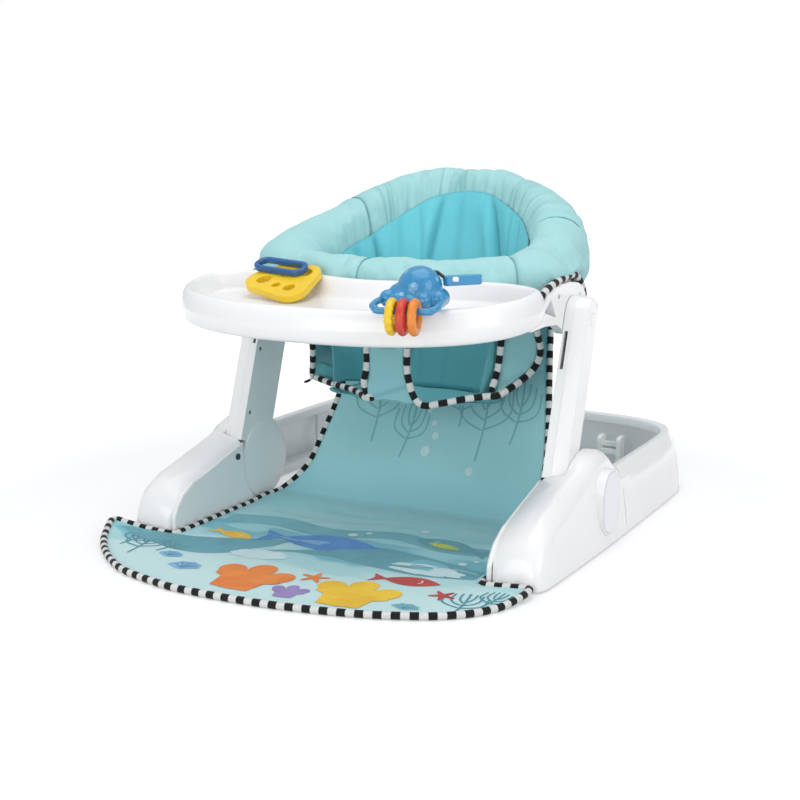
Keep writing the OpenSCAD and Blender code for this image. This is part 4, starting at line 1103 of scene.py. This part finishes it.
def decal(outline, place, mat, holes=()):
    """A flat printed shape laid on the cloth: its outline in the cloth's plane, put there by place."""
    pts, edges = [], []
    for shape in (outline, *holes):
        loop, k = spaced(list(shape) + [shape[0]], 2.0)[:-1], len(pts)
        pts += [Vector(p) for p in loop]
        edges += [(k + i, k + (i + 1) % len(loop)) for i in range(len(loop))]
    (x0, y0), (x1, y1) = ((f(p.x for p in pts), f(p.y for p in pts)) for f in (min, max))
    pts += [Vector((x + 0.31, y + 0.17)) for x in np.arange(x0, x1, 4.5) for y in np.arange(y0, y1, 4.5)]
    v, _, f, *_ = geometry.delaunay_2d_cdt(pts, edges, [], 3, 1e-4)
    where = [place(p.x, p.y) for p in v]
    faces = [t for t in f if all(where[i] is not None for i in t)]
    return make("decal", [(0, 0, 5) if w is None else w for w in where], faces, mat)


def blob(cx, cy, rx, ry, lobes, depth, turn=0.0):
    """A lobed patch, such as a cloud."""
    out = []
    for a in turns(120):
        r = 1 + depth * abs(sin(a * lobes / 2 + 0.4)) ** 0.6 - depth * 0.5
        out.append((rx * r * cos(a), ry * r * sin(a)))
    return turned(out, cx, cy, turn)


def coral(cx, cy, size, turn):
    """A fan of three round fingers on a narrow foot."""
    out = [(size * 0.4, -size * 0.36)]
    for t in np.linspace(0, 1, 161):
        a = radians(mix(22, 158, t))
        r = size * (0.5 + 0.5 * abs(sin(pi * 3 * t)) ** 0.42)
        out.append((r * cos(a) * 1.02, r * sin(a) - (0 if 0.02 < t < 0.98 else size * 0.1)))
    return turned(out + [(-size * 0.4, -size * 0.36), (0, -size * 0.4)], cx, cy, turn)


def star(cx, cy, r, turn):
    return [(cx + q * cos(a + turn), cy + q * sin(a + turn)) for a in turns(60)
        for q in (r * (0.36 + 0.64 * (0.5 + 0.5 * cos(5 * a)) ** 2.2),)]


def leaf(cx, cy, long, wide, turn, tail=0.0):
    """A pointed oval, with a forked tail where tail is given."""
    top = [(x, wide * sin(pi * clamp01(x / long + 0.5)) ** 0.8) for x in np.linspace(-long / 2, long / 2, 40)]
    back = []
    if tail:
        end = -long / 2
        top = [(x, max(y, wide * 0.16)) for x, y in top[1:]]
        back = [(end - tail, -wide * 0.9), (end - tail * 0.7, 0), (end - tail, wide * 0.9)]
    return turned(top + [(x, -y) for x, y in reversed(top if tail else top[1:-1])] + back, cx, cy, turn)


def shell(x, y, r):
    fan = [(x + 1.1 * r * cos(a) * (1 + 0.05 * cos(9 * a)), y + r * sin(a) * (1 + 0.05 * cos(9 * a)))
        for a in np.linspace(0.15, pi - 0.15, 60)]
    return fan + [(x - 3, y - r * 0.3), (x + 3, y - r * 0.3)]


def circle(cx, cy, r):
    return [(cx + r * cos(a), cy + r * sin(a)) for a in turns(36)]


def ribbon(points, w):
    """A printed line of width w through the points."""
    p = spaced(spline(points, 8), 3.0)
    out = [np.array([-t[1], t[0]]) * w / 2 for t in (heading(p, i) for i in range(len(p)))]
    return [q + o for q, o in zip(p, out)] + [q - o for q, o in zip(p, out)][::-1]


def frond(cx, cy, h, turn, place, mat, w):
    """Sea weed: a stem that opens into a fan of upright branches."""
    lines = [([(0, 0), (h * 0.03, h * 0.5), (0, h)], w)]
    for side in (-1, 1):
        for foot, reach, top in ((0.34, 0.36, 0.86), (0.46, 0.24, 0.94), (0.58, 0.12, 0.98)):
            out = side * reach * h
            lines.append(([(side * 0.4, h * foot), (out * 0.7, h * (foot + 0.1)), (out, h * (foot + 0.24)),
                (out * 0.98, h * top)], w * 0.9))
    return [decal(ribbon(turned(line, cx, cy, turn), width), place, mat) for line, width in lines]


def prints():
    inks = {name: ink("ink_" + name, *shades) for name, shades in INKS.items()}
    low, mid, high = ((lambda x, y, up=up: on_mat(x, y, up)) for up in (1.2, 1.4, 1.6))
    parts = []

    def lay(outline, place, colour, holes=()):
        parts.append(decal(outline, place, inks[colour], holes))

    def bubble(x, y, r, place):
        lay(circle(x, y, r), place, "pale", [circle(x, y, r - 1.3)])

    # broad waves
    below = [(-258, -215), (-205, -236), (-160, -248), (-116, -243), (-80, -216), (-40, -199), (10, -192),
        (60, -200),
        (130, -206), (183, -191)]
    above = [(183, -164), (120, -150), (50, -138), (-20, -152), (-90, -170), (-150, -192), (-184, -200),
        (-258, -210)]
    lay(spline(below, 8) + spline(above, 8)[:-1], low, "teal")
    below = [(-178, -132), (-110, -118), (-40, -132), (40, -104), (110, -122), (180, -108)]
    above = [(180, -82), (110, -92), (40, -76), (-40, -98), (-110, -84), (-178, -98)]
    lay(spline(below, 8) + spline(above, 8), low, "mid_teal")
    for line, w in (([(-170, -168), (-110, -150), (-50, -158), (0, -140)], 1.6),
            ([(-150, -60), (-60, -72), (30, -52), (120, -66), (176, -56)], 2.4),
            ([(-120, -30), (-40, -40), (60, -24), (150, -36)], 2.0),
            ([(20, -172), (80, -184), (150, -170), (182, -176)], 1.6),
            ([(-60, -12), (20, -18), (90, -8)], 1.8)):
        lay(ribbon(line, w), mid, "glint")
    lay(blob(122, -186, 44, 15, 9, 0.2), mid, "pale")
    lay(blob(-62, -222, 34, 15, 9, 0.16, 0.1), mid, "pale")
    # coral, stars and shells along the front
    lay(coral(94, -304, 58, 0.04), high, "yellow")
    lay(coral(-30, -308, 58, -0.05), high, "orange")
    lay(coral(32, -318, 26, 0.1), mid, "violet")
    lay(star(33, -262, 17, 0.4), high, "orange")
    lay(star(176, -252, 15, 1.1), high, "red")
    for x, y, r, colour in ((-112, -296, 19, "shell"), (-150, -268, 14, "shell"),
        (158, -302, 14, "mid_teal")):
        lay(shell(x, y, r), mid, colour)
        for a in (pi * k / 6 for k in range(1, 6)):
            lay(ribbon([(x, y - r * 0.1), (x + 0.6 * r * cos(a), y + 0.55 * r * sin(a)),
                (x + r * cos(a), y + 0.9 * r * sin(a))], 1.1), high, "weed")
    # plain fish, each with a gill line, and two with a paler side
    for x, y, long, wide, t, colour in ((-16, -150, 118, 27, 0.1, "blue"), (104, -96, 84, 19, 2.95, "teal"),
            (-128, -170, 50, 11, -0.2, "yellow"), (128, -226, 62, 14, 0.1, "red")):
        lay(leaf(x, y, long, wide, t, long * 0.24), mid, colour)
        lay(ribbon([(x + long * out * cos(t), y + long * out * sin(t) + wide * up)
            for out, up in ((0.14, 0.4), (0.19, 0), (0.14, -0.4))], 1.6), high, "pale")
    lay(leaf(-22, -155, 60, 8, 0.1), high, "shell")
    lay(leaf(104, -101, 44, 7, 2.95), high, "lime")
    for x, y, h, t in ((206, -296, 62, 0.1), (222, -266, 46, -0.2), (-196, -282, 66, 0.12),
        (-222, -262, 50, -0.1),
            (-172, -262, 46, -0.25)):
        parts += frond(x, y, h, t, mid, inks["weed"], 2.6)
    for x, y, r in ((-8, -110, 6), (6, -96, 4), (150, -150, 5), (160, -136, 3.4), (-140, -208, 4),
        (60, -60, 5)):
        bubble(x, y, r, high)
    mat_print = join(parts, "mat_print")

    # faint weed and bubbles on the panel
    parts = []
    for x, z, h, t in ((-84, 70, 84, 0.08), (-40, 56, 62, -0.1), (64, 62, 100, 0.05), (104, 84, 74, -0.08),
            (30, 96, 58, 0.1)):
        parts += frond(x, z, h, t, on_panel, inks["faint"], 2.4)
    for x, z, r in ((-6, 66, 6), (2, 84, 4.6), (-4, 98, 3.6), (-14, 112, 3), (60, 50, 5)):
        bubble(x, z, r, on_panel)
    made = [mat_print, join(parts, "panel_print")]
    for ob in made:
        folds(show(outward(ob), "base", "mat_fabric"), 0.0004, 0.12)
    return made


pieces = prints()
folds(big, 0, 0.12)


# ---- Toys ----

RATTLE = (118, -203, 294 + 0.1 * (-203 - 11 + 105) + 1.2)
TURN = radians(14)
BAR_OUT, BAR_HALF, BAR_R, BAR_Z = 46, 33, 3.5, 3.0
RING_OUTER, RING_THICK = 19, 4.8


def at_rattle(x, y, z):
    return (*turned([(x, y)], RATTLE[0], RATTLE[1], TURN)[0], RATTLE[2] + z)


def organic(name, spheres, mat, voxel=1.1):
    """One smooth body blended from overlapping balls: (x, y, z, radius) in the rattle's frame."""
    me = bpy.data.meshes.new(name)
    with editing(me) as bm:
        for x, y, z, r in spheres:
            for v in bmesh.ops.create_icosphere(bm, subdivisions=3, radius=r * MM)["verts"]:
                v.co += Vector(at_rattle(x, y, z)) * MM
    ob = put(name, me)
    setup(ob.modifiers.new("remesh", "REMESH"), mode="VOXEL", voxel_size=voxel * MM)
    setup(ob.modifiers.new("smooth", "SMOOTH"), factor=0.6, iterations=4)
    finish_mesh(baked(ob).data, mat)
    return ob


show(organic("rattle_body_shell", [(5, 5, 20, 23.3), (0, 0, 10, 20), (-26, -3, 9.9, 9.3), (26, -3, 9.9, 9.3),
    (-13, -14, 9.4, 8.9), (13, -14, 9.4, 8.9), (0, -16, 8.4, 7.9), (-23, 12, 9.4, 8.9),
    (25, 11, 10.4, 9.9), (-14, 3, 12, 14), (14, 3, 12, 14)], BLUE_DOTS), "rattle", "toy_blue", "rattle_body")
half = [(-BAR_HALF, -2, 9), (-BAR_HALF, -24, 8.5)]
half += [(-BAR_HALF + 9 * (1 - cos(a)), -BAR_OUT + 9 - 9 * sin(a), mix(7, BAR_Z, a / 1.5708))
    for a in np.linspace(0, pi / 2, 5)]
bow = spline(half + [(-x, y, z) for x, y, z in reversed(half)], 5)
show(tube("rattle_bow", [at_rattle(*p) for p in bow], BAR_R, BLUE, 20), "rattle", "toy_blue", "rattle_bar")


def toy_ring(node, k, mat, bumps, depth):
    """A ring that hangs from the bow, k places along it, with bumps round its section."""
    mid = RING_OUTER - RING_THICK
    drop = RING_OUTER - 2 * RING_THICK - BAR_R - 0.3
    rows = []
    for a in turns(96):
        r = RING_THICK * (1 - depth * (0.5 - 0.5 * cos(bumps * a)))
        rows.append([at_rattle(k * 11.5 + r * sin(b), -BAR_OUT + (mid + r * cos(b)) * sin(a),
            BAR_Z - drop + (mid + r * cos(b)) * cos(a)) for b in turns(20)])
    show(outward(surface(node + "_ring", rows, mat, wrap=True)), node, node.replace("toy_ring", "toy"), node)


toy_ring("toy_ring_yellow", -1, YELLOW, 14, 0.16)
toy_ring("toy_ring_red", 0, RED, 2, 0.0)
toy_ring("toy_ring_orange", 1, ORANGE, 10, 0.07)
skin("teether", YELLOW, "toy_yellow", 40, 1.6)
skin("teether_link", NAVY, "toy_dark_blue", 40, 1.6)
skin("rattle_clip", BLUE, "toy_blue", 40, 1.6)

strap = spaced(spline([(14, 12, 36), (20, 13, 36.5), (27, 13, 32), (33, 12, 29.5), (38, 12, 29)], 8), 1.2)
rows = [[at_rattle(x, y + 2.2 * k, z) for k in np.linspace(-2, 2, 9)] for x, y, z in strap]
show(surface("toy_strap", rows, BLACK_WEB, 1.6), "rattle")
verts = [at_rattle(x, y, z) for x in (37.75, 44.25) for y in (6.5, 17.5) for z in (27, 32)]
faces = [(0, 1, 3, 2), (4, 6, 7, 5), (0, 4, 5, 1), (2, 3, 7, 6), (0, 2, 6, 4), (1, 5, 7, 3)]
show(round_edges(make("strap_buckle", verts, faces, WHITE), 1.4), "rattle")

scene.view_settings.view_transform = "Standard"
